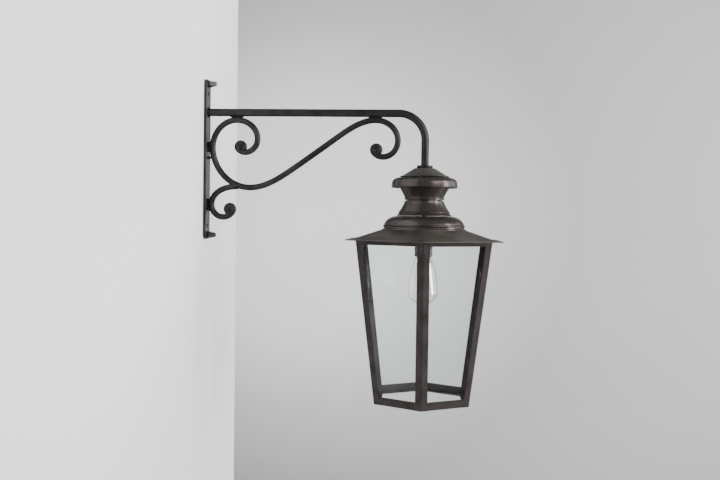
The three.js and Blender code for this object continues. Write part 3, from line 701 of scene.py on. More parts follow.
def new_material(name: str) -> tuple[bpy.types.Material, Wiring, bpy.types.Node, bpy.types.NodeSocket]:
    """Start a material with its shader.

    Args:
        name: The material's name.

    Returns:
        The material, its wiring, its shader and the output's surface socket.
    """
    made = bpy.data.materials.new(name)
    made.use_nodes = True
    wiring = Wiring(made.node_tree)
    shader = made.node_tree.nodes["Principled BSDF"]
    surface = made.node_tree.nodes["Material Output"].inputs["Surface"]
    return made, wiring, shader, surface


IRON = Metal(
    "painted_iron", "iron", (0.024, 0.023, 0.024), (0.038, 0.036, 0.039), 0.6, (0.26, 0.38),
    relief=0.12, edge=(0.0, 0.0, 0.0), gloss=0.0,
)
BAR_IRON = Metal(
    "bar_iron", "iron", (0.010, 0.009, 0.0105), (0.026, 0.024, 0.027), 0.0, (0.30, 0.44),
    relief=0.2, gloss=0.19,
)
WELD = Metal(
    "weld_iron", "iron", (0.006, 0.006, 0.006), (0.014, 0.013, 0.013), 0.3, (0.45, 0.65),
    relief=0.5, edge=(0.35, 0.34, 0.34), gloss=0.15,
)
NUT_IRON = Metal(
    "nut_iron", "iron", (0.012, 0.012, 0.012), (0.026, 0.025, 0.025), 0.3, (0.35, 0.5),
    clouds=60.0, relief=0.2,
)
ZINC = Metal(
    "zinc_steel", "zinc_steel", (0.09, 0.09, 0.10), (0.17, 0.17, 0.18), 0.9, (0.32, 0.46), clouds=60.0
)
PATINA = Metal(
    "patina", "patina", (0.054, 0.045, 0.043), (0.074, 0.065, 0.063), 0.65, (0.23, 0.28),
    clouds=22.0, specks=420.0, relief=0.04, turned=0.3, edge=(0.2, 0.2, 0.2), gloss=0.3,
)
DULL_PATINA = Metal(
    "dull_patina", "patina", (0.027, 0.025, 0.021), (0.074, 0.068, 0.060), 0.35, (0.36, 0.50),
    clouds=20.0, specks=420.0, turned=0.1, edge=(0.4, 0.4, 0.4), gloss=0.4,
)
POST_PATINA = Metal(
    "post_patina", "patina", (0.027, 0.021, 0.021), (0.045, 0.038, 0.038), 0.3, (0.32, 0.46),
    clouds=30.0, specks=300.0, edge=(0.2, 0.2, 0.2), gloss=0.15,
)
BRASS = Metal("brass", "brass", (0.42, 0.30, 0.13), (0.62, 0.47, 0.22), 1.0, (0.25, 0.4), clouds=40.0)
BLACK = Metal(
    "gloss_black", "bakelite", (0.004, 0.004, 0.004), (0.010, 0.010, 0.010), 0.0, (0.10, 0.18), relief=0.03
)
CERAMIC = Metal(
    "ceramic", "ceramic", (0.55, 0.53, 0.48), (0.66, 0.64, 0.59), 0.0, (0.3, 0.4), relief=0.1, coat=0.3
)
PANE = ClearGlass("pane_glass", "pane_glass", (0.93, 0.96, 0.955), 0.02, specular=0.2, bend=1.18)
BULB_GLASS = ClearGlass("bulb_glass", "bulb_glass", (0.985, 0.985, 0.975), 0.01)
# Painted light: a faint warm glow on the filaments, which are unlit.
FILAMENT = Glow("filament", "filament", (0.80, 0.70, 0.56), 0.10)
# Painted highlight: a bright glow on one strip, standing in for the window's reflection on the bulb glass.
PAINTED_GLINT = Glow("painted_glint_strip", "filament", (1.0, 0.99, 0.95), 4.0)


class Workshop:
    """Makes objects of shells, dresses them and fastens them to their bodies."""

    def __init__(self) -> None:
        """Build the shared groups and start with no materials."""
        self.groups = Groups()
        self.materials: dict[str, bpy.types.Material] = {}

    def material(self, finish: Metal | ClearGlass | Glow) -> bpy.types.Material:
        """A finish's material, built the first time that it is asked for.

        Args:
            finish: The finish.

        Returns:
            Its material.
        """
        if finish.name not in self.materials:
            self.materials[finish.name] = finish.material(self.groups)
        return self.materials[finish.name]

    def place(
        self, shell: Shell, finish: Metal | ClearGlass | Glow, body: Body, *nodes: str
    ) -> bpy.types.Object:
        """Make a piece, dress it and put it in its CAD nodes' stead.

        Args:
            shell: Its surface.
            finish: Its finish.
            body: What it rides on.
            *nodes: CAD nodes that it replaces.

        Returns:
            The piece.
        """
        piece = shell.object()
        piece.data.materials.append(self.material(finish))
        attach(piece, body.value)
        if nodes:
            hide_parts(*nodes)
        log.info("%s: %d points on %s, for %s", piece.name, len(piece.data.vertices), body.value, nodes)
        return piece

    def dress(self, finish: Metal | ClearGlass | Glow, *nodes: str) -> None:
        """Give carried-over CAD nodes a finish.

        Args:
            finish: The finish.
            *nodes: Their names.
        """
        for name in nodes:
            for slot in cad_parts[name].material_slots:
                slot.material = self.material(finish)
            log.info("%s: CAD node, %s", name, finish.name)


# The wall bracket


@dataclass
class WallPlate:
    """The flat bar on the wall with its studs, washers and domed nuts."""

    half_width: float = 20.0
    thickness: float = 6.0
    corner: float = 10.0
    foot: float = -288.58
    corner_points: int = 9
    easing: float = 0.9
    easing_points: int = 5
    easing_past: float = 1.3
    face_insets: tuple = (1.4, 1.2)
    fixings: tuple = (64.5, -279.08)
    spares: tuple = (43.0, -257.58)
    fixing_hole: float = 4.5
    lead_hole: float = 6.6
    hole_flats: int = 40
    flare: float = 5.5
    flare_depth: float = 0.5
    overrun: float = 5.0
    washer_radius: float = 8.5
    washer_bore: float = 4.2
    washer_gap: float = 0.1
    washer_edge: float = 1.5
    washer_height: float = 1.9
    washer_crown_share: float = 0.7
    washer_easing: float = 0.6
    washer_flats: int = 48
    nut_across: float = 13.0
    nut_height: float = 7.0
    nut_chamfers: tuple = (0.7, 0.8)
    nut_chamfer_shares: tuple = (0.93, 0.9)
    nut_easing: float = 0.5
    nut_flats: int = 96
    dome_radius: float = 6.0
    dome_step: float = 0.05
    dome_foot: float = 7.3
    dome_spring: float = 11.6
    outer_face: float = 8.5

    def outline(self, shrink: float) -> Array:
        """The bar's outline as Y and Z: a rectangle with rounded corners, drawn in by shrink.

        Args:
            shrink: How far the outline is drawn in.

        Returns:
            Closed outline.
        """
        radius = self.corner - shrink
        y = self.half_width - self.corner
        high, low = BAR_ABOVE_ARM - self.corner, self.foot + self.corner
        corners = [(y, high, 0), (-y, high, 90), (-y, low, 180), (y, low, 270)]
        size, count = (radius, radius), self.corner_points
        return np.vstack([arc((y, z), size, first, first + 90, count) for y, z, first in corners])

    def plate(self) -> Shell:
        """The bar as a loft of outlines through its thickness, easing e(1 - cos b) at each face.

        Returns:
            The bar without its holes.
        """
        b = np.radians(np.linspace(90, 0, self.easing_points))
        e, (middle, rim) = self.easing, self.face_insets
        depth = np.concatenate([[0, 0], e * (1 - np.sin(b)), [e * self.easing_past]])
        shrink = np.concatenate([[e * middle, e * rim], e * (1 - np.cos(b)), [0]])
        depth = np.concatenate([depth, self.thickness - depth[::-1]])
        rings = [self.outline(s) for s in np.concatenate([shrink, shrink[::-1]])]
        net = np.stack([np.column_stack([np.full(len(o), x), o]) for x, o in zip(depth, rings)])
        first = net[:1].mean(axis=1, keepdims=True) + 0 * net[:1]
        last = net[-1:].mean(axis=1, keepdims=True) + 0 * net[-1:]
        return Shell("bar_plate", BRACKET_AT).add(np.concatenate([first, net, last]))

    def drill(self, piece: bpy.types.Object) -> None:
        """Cut the holes, each with a small flare at both faces, and keep the result.

        Args:
            piece: The bar.
        """
        shell = Shell("drills", BRACKET_AT)
        holes = [(z, self.fixing_hole) for z in (*self.fixings, *self.spares)] + [(0.0, self.lead_hole)]
        for height, radius in holes:
            near, far = -self.overrun, self.thickness + self.overrun
            wide, deep = radius + self.flare, self.flare_depth
            line = [(0, near), (wide, near), (radius, deep), (radius, self.thickness - deep)]
            line += [(wide, far), (0, far)]
            net = revolve(np.array(line, float), self.hole_flats, Axis.OUTWARD)
            shell.add(net, shift=(0, 0, height))
        tool = shell.object()
        cutter = piece.modifiers.new("holes", "BOOLEAN")
        cutter.object, cutter.operation, cutter.solver = tool, "DIFFERENCE", "EXACT"
        bpy.context.view_layer.update()
        whole = piece.evaluated_get(bpy.context.evaluated_depsgraph_get())
        mesh = bpy.data.meshes.new_from_object(whole)
        piece.modifiers.clear()
        old, piece.data = piece.data, mesh
        mesh.name = piece.name
        bpy.data.meshes.remove(old)
        bpy.data.objects.remove(tool)
        mesh.shade_smooth()
        mesh.set_sharp_from_angle(angle=math.radians(DRILLED_DEGREES))

    def washer(self, height: float) -> Array:
        """A round washer with eased edges and a slight dish.

        Args:
            height: Where on the bar.

        Returns:
            Closed net.
        """
        x, r, bore = self.thickness + self.washer_gap, self.washer_radius, self.washer_bore
        top = x + self.washer_height
        crown = (r * self.washer_crown_share, top)
        line = np.array([(bore, x), (r, x), (r, x + self.washer_edge), crown, (bore, top)])
        section = softened(line, self.washer_easing)
        return revolve(section, self.washer_flats, Axis.OUTWARD) + np.array([0, 0, height])

    def nut(self, height: float) -> Array:
        """A domed nut: at each place round, the radius is the lesser of the hexagon's, which
        is half the width over the cosine from the flat's middle, and of the turned limit's.

        Args:
            height: Where on the bar.

        Returns:
            Closed net.
        """
        x = self.outer_face
        corner, top = self.nut_across / 2 / HEX_FLAT, x + self.nut_height
        (near, far), (low, high) = self.nut_chamfers, self.nut_chamfer_shares
        limit = [(0, x), (corner * low, x), (corner, x + near), (corner, top - far), (corner * high, top)]
        spring = x + self.dome_spring
        neck = [(self.dome_radius + self.dome_step, x + self.dome_foot), (self.dome_radius, spring)]
        dome = arc((0, spring), (self.dome_radius, self.dome_radius), 0, 90, 12)[1:]
        line = np.vstack([softened(np.array(limit + neck, float), self.nut_easing, ends=True), dome])
        net = revolve(line, self.nut_flats, Axis.OUTWARD)
        a = np.linspace(0, 2 * math.pi, self.nut_flats, endpoint=False)[None]
        flat = self.nut_across / 2 / np.cos((a + math.pi / 6) % (math.pi / 3) - math.pi / 6)
        radius = np.minimum(line[:, :1], flat)
        return np.stack([net[..., 0], radius * np.cos(a), radius * np.sin(a) + height], -1)

    def build(self, shop: Workshop) -> None:
        """Make the bar and its fixings.

        Args:
            shop: Where they are made.
        """
        piece = shop.place(self.plate(), BAR_IRON, Body.BRACKET, "wall_bar")
        self.drill(piece)
        for name, height, finish in zip(("upper", "lower"), self.fixings, (ZINC, NUT_IRON)):
            shell = Shell(f"washer_{name}", BRACKET_AT).add(self.washer(height), ring=True)
            shop.place(shell, IRON, Body.BRACKET, f"wall_washer_{name}")
            shell = Shell(f"domed_nut_{name}", BRACKET_AT).add(self.nut(height))
            shop.place(shell, finish, Body.BRACKET, f"wall_nut_{name}")
        shop.dress(ZINC, "wall_stud_upper", "wall_stud_lower")


@dataclass
class ScrollBracket:
    """The pipe arm with its two rolled scrolls, pads and welds."""

    pipe_radius: float = 8.6
    pipe_bore: float = 6.6
    pipe_edge: float = 0.6
    pipe_edge_run: float = 0.7
    pipe_flats: int = 40
    pipe_steps: int = 28
    bend_radius: float = 60.0
    drop: float = 116.0
    start: float = 6.3
    bar_face: float = 6.0
    scroll_radius: float = 6.75
    span: float = 434.0
    roll_radius: float = 7.75
    roll_turn: float = 195.0
    roll_lead: float = 0.025
    curl_turn: float = 130.0
    curl_step: float = 9.0
    curl_gap: float = 0.25
    curl_end: float = 3.4
    eye_size: tuple = (4.6, 5.2, 4.6)
    eye_ripples: tuple = (2.0, 0.05)
    outer_heading: float = 165.4
    lower_heading: float = 184.0
    crown: float = -15.65
    upper_seat: float = 16.55
    lower_seat: float = 14.55
    outer_step: float = 0.0629
    outer_bends: tuple = (-7.9, -9.4, -10.2, -11.7, -14.3, -17.2)
    inner_step: float = 0.116
    inner_bends: tuple = (
        7.88, 3.37, 0.36, -0.13, -0.02, -0.5, -2.89, -5.66, -4.84, -4.28, -6.49, -8.27, -8.68, -13.1,
        -18.97,
    )
    lower_step: float = 0.0694
    lower_bends: tuple = (0.3, 6.3, 11.5, 14.6, 16.4, 17.8)
    lower_drop: float = 0.35
    crowns: tuple = (387.1, 71.6)
    crown_lumps: tuple = ((15.5, 3.4, 2.7, -9.0), (8.5, 3.6, 4.0, -9.6))
    crown_side: float = 3.1
    crown_ripples: float = 3.5
    seats: tuple = ((-72.0, 4.6, 4.6), (-103.0, 3.0, 4.6), (-198.5, 2.0, 3.4), (-220.0, 4.4, 4.4))
    seat_width: float = 10.5
    seat_share: float = 0.6
    seat_side: float = -1.0
    seat_ripples: tuple = (1.0, 0.08)
    join_lump: tuple = (11.0, 2.8, 3.0)
    join_off: tuple = (-3.0, 4.2, -2.2)
    join_ripples: float = 4.0
    bead: float = 3.0
    bead_waves: tuple = ((0.10, 17), (0.06, 5))
    bead_place: tuple = (0.2, 0.4)
    bead_cut: tuple = (-0.05, -0.1)
    bead_points: tuple = (120, 14)
    pad_half: tuple = (3.0, 11.6)
    pad_easing: float = 1.4
    pad_edges: tuple = (0.3, 0.5, 0.1)
    pad_shares: tuple = (0.97, 0.96)
    upper_pad: float = 4.2
    lower_pad: float = 2.2

    def stretches(self, step: float, bends: tuple) -> Array:
        """A scroll's stretches from its table, with the tight roll at its end.

        Args:
            step: Length of a row over the span.
            bends: Span over radius at each row.

        Returns:
            Rows of run, bend at its start and bend at its end.
        """
        bend = np.array(bends) / self.span
        roll = math.copysign(1 / self.roll_radius, bend[-1])
        rows = np.column_stack([np.full(len(bend) - 1, step * self.span), bend[:-1], bend[1:]])
        tail = [
            [self.roll_lead * self.span, bend[-1], roll],
            [math.radians(self.roll_turn) * self.roll_radius, roll, roll],
        ]
        return np.vstack([rows, tail])

    def main_path(self) -> tuple[Array, Array]:
        """The main scroll's path, from the roll by the lantern to the one by the wall.

        Returns:
            Points and headings.
        """
        outer = self.stretches(self.outer_step, self.outer_bends)
        back = np.column_stack([outer[:, 0], -outer[:, 2], -outer[:, 1]])[::-1]
        turn = np.sum((outer[:, 1] + outer[:, 2]) / 2 * outer[:, 0])
        rows = np.vstack([back, self.stretches(self.inner_step, self.inner_bends)])
        path, heading = bent(np.zeros(2), math.radians(self.outer_heading) + turn, rows)
        return path + [self.upper_seat - path[:, 0].min(), self.crown - path[:, 1].max()], heading

    def lower_path(self) -> tuple[Array, Array]:
        """The lower scroll's path, from the main scroll to its roll.

        Returns:
            Points and headings.
        """
        rows = self.stretches(self.lower_step, self.lower_bends)
        path, heading = bent(np.zeros(2), math.radians(self.lower_heading), rows)
        top = self.crown - self.lower_drop * self.span
        return path + [self.lower_seat - path[:, 0].min(), top], heading

    def eye(self, path: Array, heading: Array) -> tuple:
        """The middle of the eye that a rolled end goes round.

        Args:
            path: X and Z of a path that ends in its roll.
            heading: Its headings.

        Returns:
            X, Y and Z.
        """
        turn = math.copysign(self.roll_radius, heading[-1] - heading[-2])
        x, z = path[-1] + turn * np.array([-math.sin(heading[-1]), math.cos(heading[-1])])
        return (x, 0.0, z)

    def curl(self, path: Array, heading: Array, radii: Array) -> tuple[Array, Array, Array]:
        """Carry a rolled end on into its own eye, drawn out thinner as a smith does.

        At each angle round the eye the bar that came in a turn before leaves room up to
        d - r - g, its distance less its radius and a gap. The tail has radius b, the lesser of r
        and half the room, and runs at the room less b from the eye's middle.

        Args:
            path: X and Z of a path that ends in its roll.
            heading: Its headings.
            radii: Its radii.

        Returns:
            The longer path with its headings and radii.
        """
        turn = math.copysign(1.0, heading[-1] - heading[-2])
        middle = np.array(self.eye(path, heading))[::2]
        last = path[-CURL_POINTS:] - middle
        angle = np.unwrap(np.arctan2(last[:, 1], last[:, 0])) * turn
        away = np.linalg.norm(last, axis=1)
        ahead = np.radians(np.arange(self.curl_step, self.curl_turn, self.curl_step))
        order = np.argsort(angle)
        known = np.interp(angle[-1] + ahead - 2 * math.pi, angle[order], away[order])
        room = np.minimum(known - self.scroll_radius - self.curl_gap, self.roll_radius + self.scroll_radius)
        thick = np.minimum(self.scroll_radius, room / 2)
        at = (angle[-1] + ahead) * turn
        tail = middle + (room - thick)[:, None] * np.stack([np.cos(at), np.sin(at)], -1)
        way = np.diff(np.vstack([path[-1:], tail, 2 * tail[-1:] - tail[-2:-1]]), axis=0)
        lean = np.unwrap(np.concatenate([heading[-1:], np.arctan2(way[:, 1], way[:, 0])]))[1:]
        lean = (lean + np.concatenate([lean[1:], lean[-1:]])) / 2
        keep = thick > self.curl_end
        headings = np.concatenate([heading, lean[:-1][keep]])
        return np.vstack([path, tail[keep]]), headings, np.concatenate([radii, thick[keep]])

    def arm_net(self) -> Array:
        """The arm: its outer wall from the bar to the open end, then its bore back again.

        Returns:
            Net whose last ring joins its first.
        """
        level, fall = ARM_REACH - self.bend_radius - self.start, self.drop - self.bend_radius
        curve = -1 / self.bend_radius
        rows = np.array([[level, 0, 0], [self.bend_radius * math.pi / 2, curve, curve], [fall, 0, 0]])
        path, heading = bent(np.array([self.start, 0.0]), 0.0, rows, self.pipe_steps)
        size = np.full(len(path), self.pipe_radius)
        size[-1] -= self.pipe_edge
        path[-2] = path[-1] + [0, self.pipe_edge_run]
        bore = np.full(len(path), self.pipe_bore)
        bore[-1] += self.pipe_edge / 2
        outer, inner = (carried(path, heading, radii, self.pipe_flats) for radii in (size, bore))
        return np.concatenate([outer, inner[::-1]])

    def welds(self) -> Shell:
        """Weld beads: a ring where the arm meets the bar and lumps where scrolls meet things.

        The ring's section is a half round whose radius swells with sin of the place round.

        Returns:
            All the beads.
        """
        shell = Shell("weld_beads", BRACKET_AT)
        around, across = self.bead_points
        a = np.linspace(0, 2 * math.pi, around, endpoint=False)[None]
        b = np.radians(np.linspace(-90, 180, across))[:, None]
        (high, many), (low, few) = self.bead_waves
        size = self.bead * (1 + high * np.sin(a * many) + low * np.sin(a * few + 1))
        (out, sunk), (back, inner) = self.bead_place, self.bead_cut
        radius = self.pipe_radius - sunk + size * np.maximum(np.cos(b), inner)
        x = self.bar_face + out + size * np.maximum(np.sin(b), back)
        shell.add(np.stack([x + 0 * a, radius * np.cos(a), radius * np.sin(a)], -1), ring=True)
        sides = (-1.0, 1.0)
        for x in self.crowns:
            for side in sides:
                for *size, z in self.crown_lumps:
                    shell.add(lump(size, self.crown_ripples), shift=(x, side * self.crown_side, z))
        for height, tall, thick in self.seats:
            seat = lump((thick, self.seat_width, tall), *self.seat_ripples)
            x = self.bar_face + thick * self.seat_share
            shell.add(seat, shift=(x, self.seat_side, height))
        (x, z), (along, across, down) = self.lower_path()[0][0], self.join_off
        for side in sides:
            join = lump(self.join_lump, self.join_ripples)
            shell.add(join, shift=(x + along, side * across, z + down))
        return shell

    def pad(self, name: str, height: float, thick: float) -> Shell:
        """A pad: a rounded block between the bar and a scroll.

        Args:
            name: The piece's name.
            height: Its middle.
            thick: Its thickness.

        Returns:
            The pad.
        """
        block = np.array([(-1, -1), (1, -1), (1, 1), (-1, 1)]) * np.array(self.pad_half)
        outline = softened(block, self.pad_easing)
        (near, far, top), (back, front) = self.pad_edges, self.pad_shares
        depth = np.array([0, 0, near, thick - far, thick - top, thick - top])
        scale = np.array([0, back, 1, 1, front, 0])[:, None]
        y, z = (outline[:, i] * scale for i in range(2))
        net = np.stack([depth[:, None] + 0 * y, y, z], -1)
        return Shell(name, (self.start, 0, ARM_HEIGHT + height)).add(net)

    def scroll(self, name: str, line: tuple, eyes: list) -> Shell:
        """A rolled scroll with a plug in the middle of each eye.

        Args:
            name: The piece's name.
            line: Its path, headings and radii.
            eyes: The middles of its eyes.

        Returns:
            The scroll.
        """
        shell = Shell(name, BRACKET_AT).add(bar(*line))
        for place in eyes:
            shell.add(lump(self.eye_size, *self.eye_ripples), shift=place)
        return shell

    def build(self, shop: Workshop) -> None:
        """Make the arm, scrolls, pads and welds.

        Args:
            shop: Where they are made.
        """
        on = Body.BRACKET
        shop.place(Shell("arm", BRACKET_AT).add(self.arm_net(), ring=True), IRON, on, "arm_pipe")
        path, heading = self.main_path()
        upper = path[np.argmin(path[:, 0]), 1]
        eyes = [self.eye(path, heading), self.eye(path[::-1], heading[::-1] + math.pi)]
        line = self.curl(path, heading, np.full(len(path), self.scroll_radius))
        line = self.curl(line[0][::-1], line[1][::-1] + math.pi, line[2][::-1])
        shop.place(self.scroll("scroll_main", line, eyes), IRON, on, "main_scroll")
        path, heading = self.lower_path()
        lower = path[np.argmin(path[:, 0]), 1]
        line = self.curl(path, heading, np.full(len(path), self.scroll_radius))
        shop.place(self.scroll("scroll_lower", line, [self.eye(path, heading)]), IRON, on, "lower_scroll")
        shop.place(self.pad("pad_upper", upper, self.upper_pad), BAR_IRON, on, "scroll_pad_upper")
        shop.place(self.pad("pad_lower", lower, self.lower_pad), BAR_IRON, on, "scroll_pad_lower")
        shop.place(self.welds(), WELD, Body.BRACKET)
        shop.dress(BRASS, "pipe_reducer")


# The lantern


@dataclass
class Canopy:
    """Everything above the glazed body: collar, cap, necks, bell, roof, rod and strap."""

    sheet: float = 1.2
    rod_radius: float = 5.0
    rod_bore: float = 3.5
    rod_hole: float = 5.3
    rod_top: float = -96.0
    rod_foot: float = -282.09
    rod_flats: int = 18
    rod_rows: int = 6
    pitch: float = 1.5
    thread: float = 0.55
    collar_top: float = -116.4
    collar_foot: float = -122.3
    collar_bore: float = 5.2
    collar_radius: float = 17.9
    collar_shoulder: float = 1.5
    collar_easing: float = 0.9
    collar_rounding: float = 0.7
    collar_flats: int = 72
    cap_top: float = -122.6
    cap_flat: float = 20.5
    cone_start: tuple = (23.0, -122.9)
    cone_pull: tuple = (38.5, -132.0)
    cone_radius: float = 55.0
    cone_foot: float = -142.6
    cone_end: tuple = (5.5, 3.7)
    cone_lip: Roll = Roll(0.6, 1.3, 1.1, 1.1, 80, -70, 7)
    brim_start: tuple = (52.6, -143.5)
    brim_radius: float = 74.0
    brim_inset: float = 0.4
    brim_top: float = -143.6
    brim_turn: float = -158.1
    brim_foot: float = -166.6
    brim_band: tuple = (0.3, 5.2)
    brim_roll: Roll = Roll(1.3, 1.9, 1.9, 1.9, 60, -100, 12)
    neck_top: float = -158.1
    neck_rim: float = 61.5
    neck_mouth: float = 47.8
    neck_pull: float = 45.6
    neck_pull_share: float = 0.67
    neck_end: float = 5.6
    waist: float = 44.0
    seam: float = -194.4
    seam_depth: float = 2.8
    seam_steps: tuple = (2.4, 1.0, 0.6)
    seam_play: float = 0.2
    seam_lip: Roll = Roll(0.2, 4.2, 1.2, 1.3, 80, -80, 9)
    groove_steps: tuple = (0.2, 1.5, 2.0)
    throat: float = 59.3
    throat_pull: float = 45.2
    throat_pull_share: float = 0.3
    throat_end: tuple = (2.8, 4.6)
    throat_ring: Roll = Roll(2.6, 3.0, 1.4, 1.3, 85, -75, 7)
    flare: tuple = (1.8, 1.4)
    bead_top: float = -224.7
    bead_radius: float = 60.5
    neck_bead: Roll = Roll(1.2, -3.4, 2.4, 1.5, 80, -95, 9)
    bell_top: float = -231.03
    bell_mouth: float = 52.5
    bell_mouth_rise: float = 1.0
    bell_foot: float = -257.0
    bell_radius: float = 94.0
    bell_crown: float = 58.5
    bell_crown_drop: float = 1.4
    bell_spring: float = 2.5
    bell_spread: float = 32.9
    bell_end: float = 15.0
    bell_flats: int = 144
    bell_edge: Roll = Roll(3.0, 6.9, 1.4, 1.2, 70, -70, 7)
    bell_groove: tuple = (3.6, 5.0, 2.6)
    bell_rim: Roll = Roll(2.0, 0.4, 2.2, 1.7, 85, -80, 9)
    eave_top: float = -282.5
    eave_radius: float = 196.5
    hem: float = 7.0
    hem_depth: float = 2.0
    roof_edge: float = 183.5
    roof_mouth: float = 70.0
    roof_inset: float = 0.3
    roof_easing: tuple = (0.4, 2.5, 1.0, 1.0, 0.4, 0.2, 2.0, 0.4)
    slope: float = 0.29
    fold: float = 3.0
    nut_bore: float = 5.1
    nut_corner: float = 8.05
    nut_height: float = 4.0
    nut_easing: tuple = (0.45, 0.4)
    nut_rounding: float = 0.3
    nut_fold: float = 0.7
    nut_tops: tuple = (-258.19, -265.79)

    def collar(self) -> Shell:
        """A thick round collar with eased edges.

        Returns:
            The collar.
        """
        top, foot, r, bore = self.collar_top, self.collar_foot, self.collar_radius, self.collar_bore
        low, high = self.collar_easing, self.collar_shoulder
        line = [(bore, foot), (r - low, foot), (r, foot + low)]
        line += [(r, top - high), (r - high, top), (bore, top)]
        section = softened(np.array(line, float), self.collar_rounding)
        return Shell("collar", LANTERN_AT).add(revolve(section, self.collar_flats), ring=True)

    def rod(self) -> Array:
        """A threaded rod: r = R - d |saw| where saw runs once a pitch and once round.

        Returns:
            Net whose last ring joins its first.
        """
        z = np.arange(self.rod_top, self.rod_foot, -self.pitch / self.rod_rows)
        a = np.linspace(0, 2 * math.pi, self.rod_flats, endpoint=False)[None]
        turn = (z[:, None] / self.pitch + a / (2 * math.pi)) % 1.0
        radius = self.rod_radius - self.thread * np.abs(turn * 2 - 1)
        outer = np.stack([radius * np.cos(a), radius * np.sin(a), z[:, None] + 0 * a], -1)
        bore = np.array([(self.rod_bore, self.rod_foot), (self.rod_bore, self.rod_top)])
        return np.concatenate([outer, revolve(bore, self.rod_flats)])

    def cone_line(self) -> Array:
        """The cap's cone, nearly straight, ending in a thin lip that stands out over the brim.

        Returns:
            Outer line.
        """
        r, foot = self.cone_radius, self.cone_foot
        inward, up = self.cone_end
        flat = np.array([(self.rod_hole, self.cap_top), (self.cap_flat, self.cap_top)])
        side = bezier(self.cone_start, self.cone_pull, (r - inward, foot + up), 20)
        return np.vstack([flat, side, self.cone_lip.line(r, foot)])

    def brim_line(self) -> Array:
        """The cap's brim: the rounded shoulder and an upright band with a rolled foot.

        Returns:
            Outer line.
        """
        r, foot = self.brim_radius, self.brim_foot
        wall, (inward, up) = r - self.brim_inset, self.brim_band
        side = bezier(self.brim_start, (wall, self.brim_top), (wall, self.brim_turn), 30)
        return np.vstack([side, [(r - inward, foot + up)], self.brim_roll.line(r, foot)])

    def upper_neck_line(self) -> Array:
        """The upper neck, hollow down to its lip over the seam.

        Returns:
            Outer line.
        """
        r, seam = self.waist, self.seam
        pull = (self.neck_pull, self.neck_top + self.neck_pull_share * (seam - self.neck_top))
        side = bezier((self.neck_rim, self.neck_top), pull, (r, seam + self.neck_end), 26)
        high, low, end = self.seam_steps
        foot = [(r, seam + high), (r, seam + low), (r - self.seam_depth + self.seam_play, seam + end)]
        return np.vstack([[(self.neck_mouth, self.neck_top)], side, self.seam_lip.line(r, seam), foot])

    def lower_neck_line(self) -> Array:
        """The lower neck, from a groove under the seam to a ring and a bead at its foot.

        Returns:
            Outer line.
        """
        seam, foot, deep = self.seam, self.bead_top, self.waist - self.seam_depth
        top, low, edge = self.groove_steps
        groove = [(deep, seam - top), (deep, seam - low)]
        pull = (self.throat_pull, seam + self.throat_pull_share * (foot - seam))
        inward, up = self.throat_end
        side = bezier((self.waist, seam - edge), pull, (self.throat - inward, foot + up), 24)
        ring = self.throat_ring.line(self.throat, foot)
        inward, up = self.flare
        flare = [(self.throat - inward, foot + up), (self.bead_radius - inward, foot - up)]
        return np.vstack([groove, side, ring, flare, self.neck_bead.line(self.bead_radius, foot)])

    def bell_net(self) -> Array:
        """The bell: turned, with the rows of its rim let down onto the roof's flats.

        A rim row's height falls by slope (R cos g / cos 30 - R), g from a flat's middle, times
        its share: 0 at the top, 1 at the rim.

        Returns:
            Net whose last ring joins its first.
        """
        r, foot = self.bell_radius, self.bell_foot
        rise = self.bell_top - foot - self.bell_crown_drop
        middle = (self.bell_crown, foot + self.bell_spring)
        dome = arc(middle, (self.bell_spread, rise), 90, self.bell_end, 30)
        edge, rim = self.bell_edge.line(r, foot), self.bell_rim.line(r, foot)
        inward, high, low = self.bell_groove
        groove = [(r - inward, foot + high), (r - inward, foot + low)]
        mouth = [(self.bell_mouth, self.bell_top + self.bell_mouth_rise)]
        line = np.vstack([mouth, dome, edge, groove, rim])
        ring = sheet(line, self.sheet)
        share = np.clip((self.bell_top - ring[:, 1]) / (self.bell_top - foot), 0, 1)[:, None] ** 2
        net = revolve(ring, self.bell_flats)
        a = np.linspace(0, 2 * math.pi, self.bell_flats, endpoint=False)[None]
        off = (a + math.pi / 6) % (math.pi / 3) - math.pi / 6
        net[..., 2] -= share * self.slope * r * (np.cos(off) / HEX_FLAT - 1)
        return net

    def roof_section(self) -> Array:
        """The roof's section: a straight slope, a flat lip and a hem folded under its edge.

        Returns:
            Closed section of corner radius and height.
        """
        mouth = self.eave_top + (self.roof_edge - self.roof_mouth) * self.slope
        s, top, under = self.sheet, self.eave_top, self.eave_top - self.hem_depth
        edge, hem, off = self.eave_radius, self.eave_radius - self.hem, self.roof_inset
        line = [
            (self.roof_mouth, mouth), (self.roof_edge, top), (edge, top), (edge, under), (hem, under),
            (hem, top - s), (self.roof_edge - off, top - s), (self.roof_mouth - off, mouth - s),
        ]
        return softened(np.array(line, float), np.array(self.roof_easing))

    def nut(self, name: str, top: float) -> Shell:
        """A small hexagonal nut with eased corners.

        Args:
            name: The piece's name.
            top: Its upper face.

        Returns:
            The nut.
        """
        bore, r, foot = self.nut_bore, self.nut_corner, top - self.nut_height
        inward, up = self.nut_easing
        line = [(bore, foot), (r - inward, foot), (r, foot + up)]
        line += [(r, top - up), (r - inward, top), (bore, top)]
        section = softened(np.array(line, float), self.nut_rounding)
        return Shell(name, LANTERN_AT).add(hexagonal(section, self.nut_fold), ring=True)

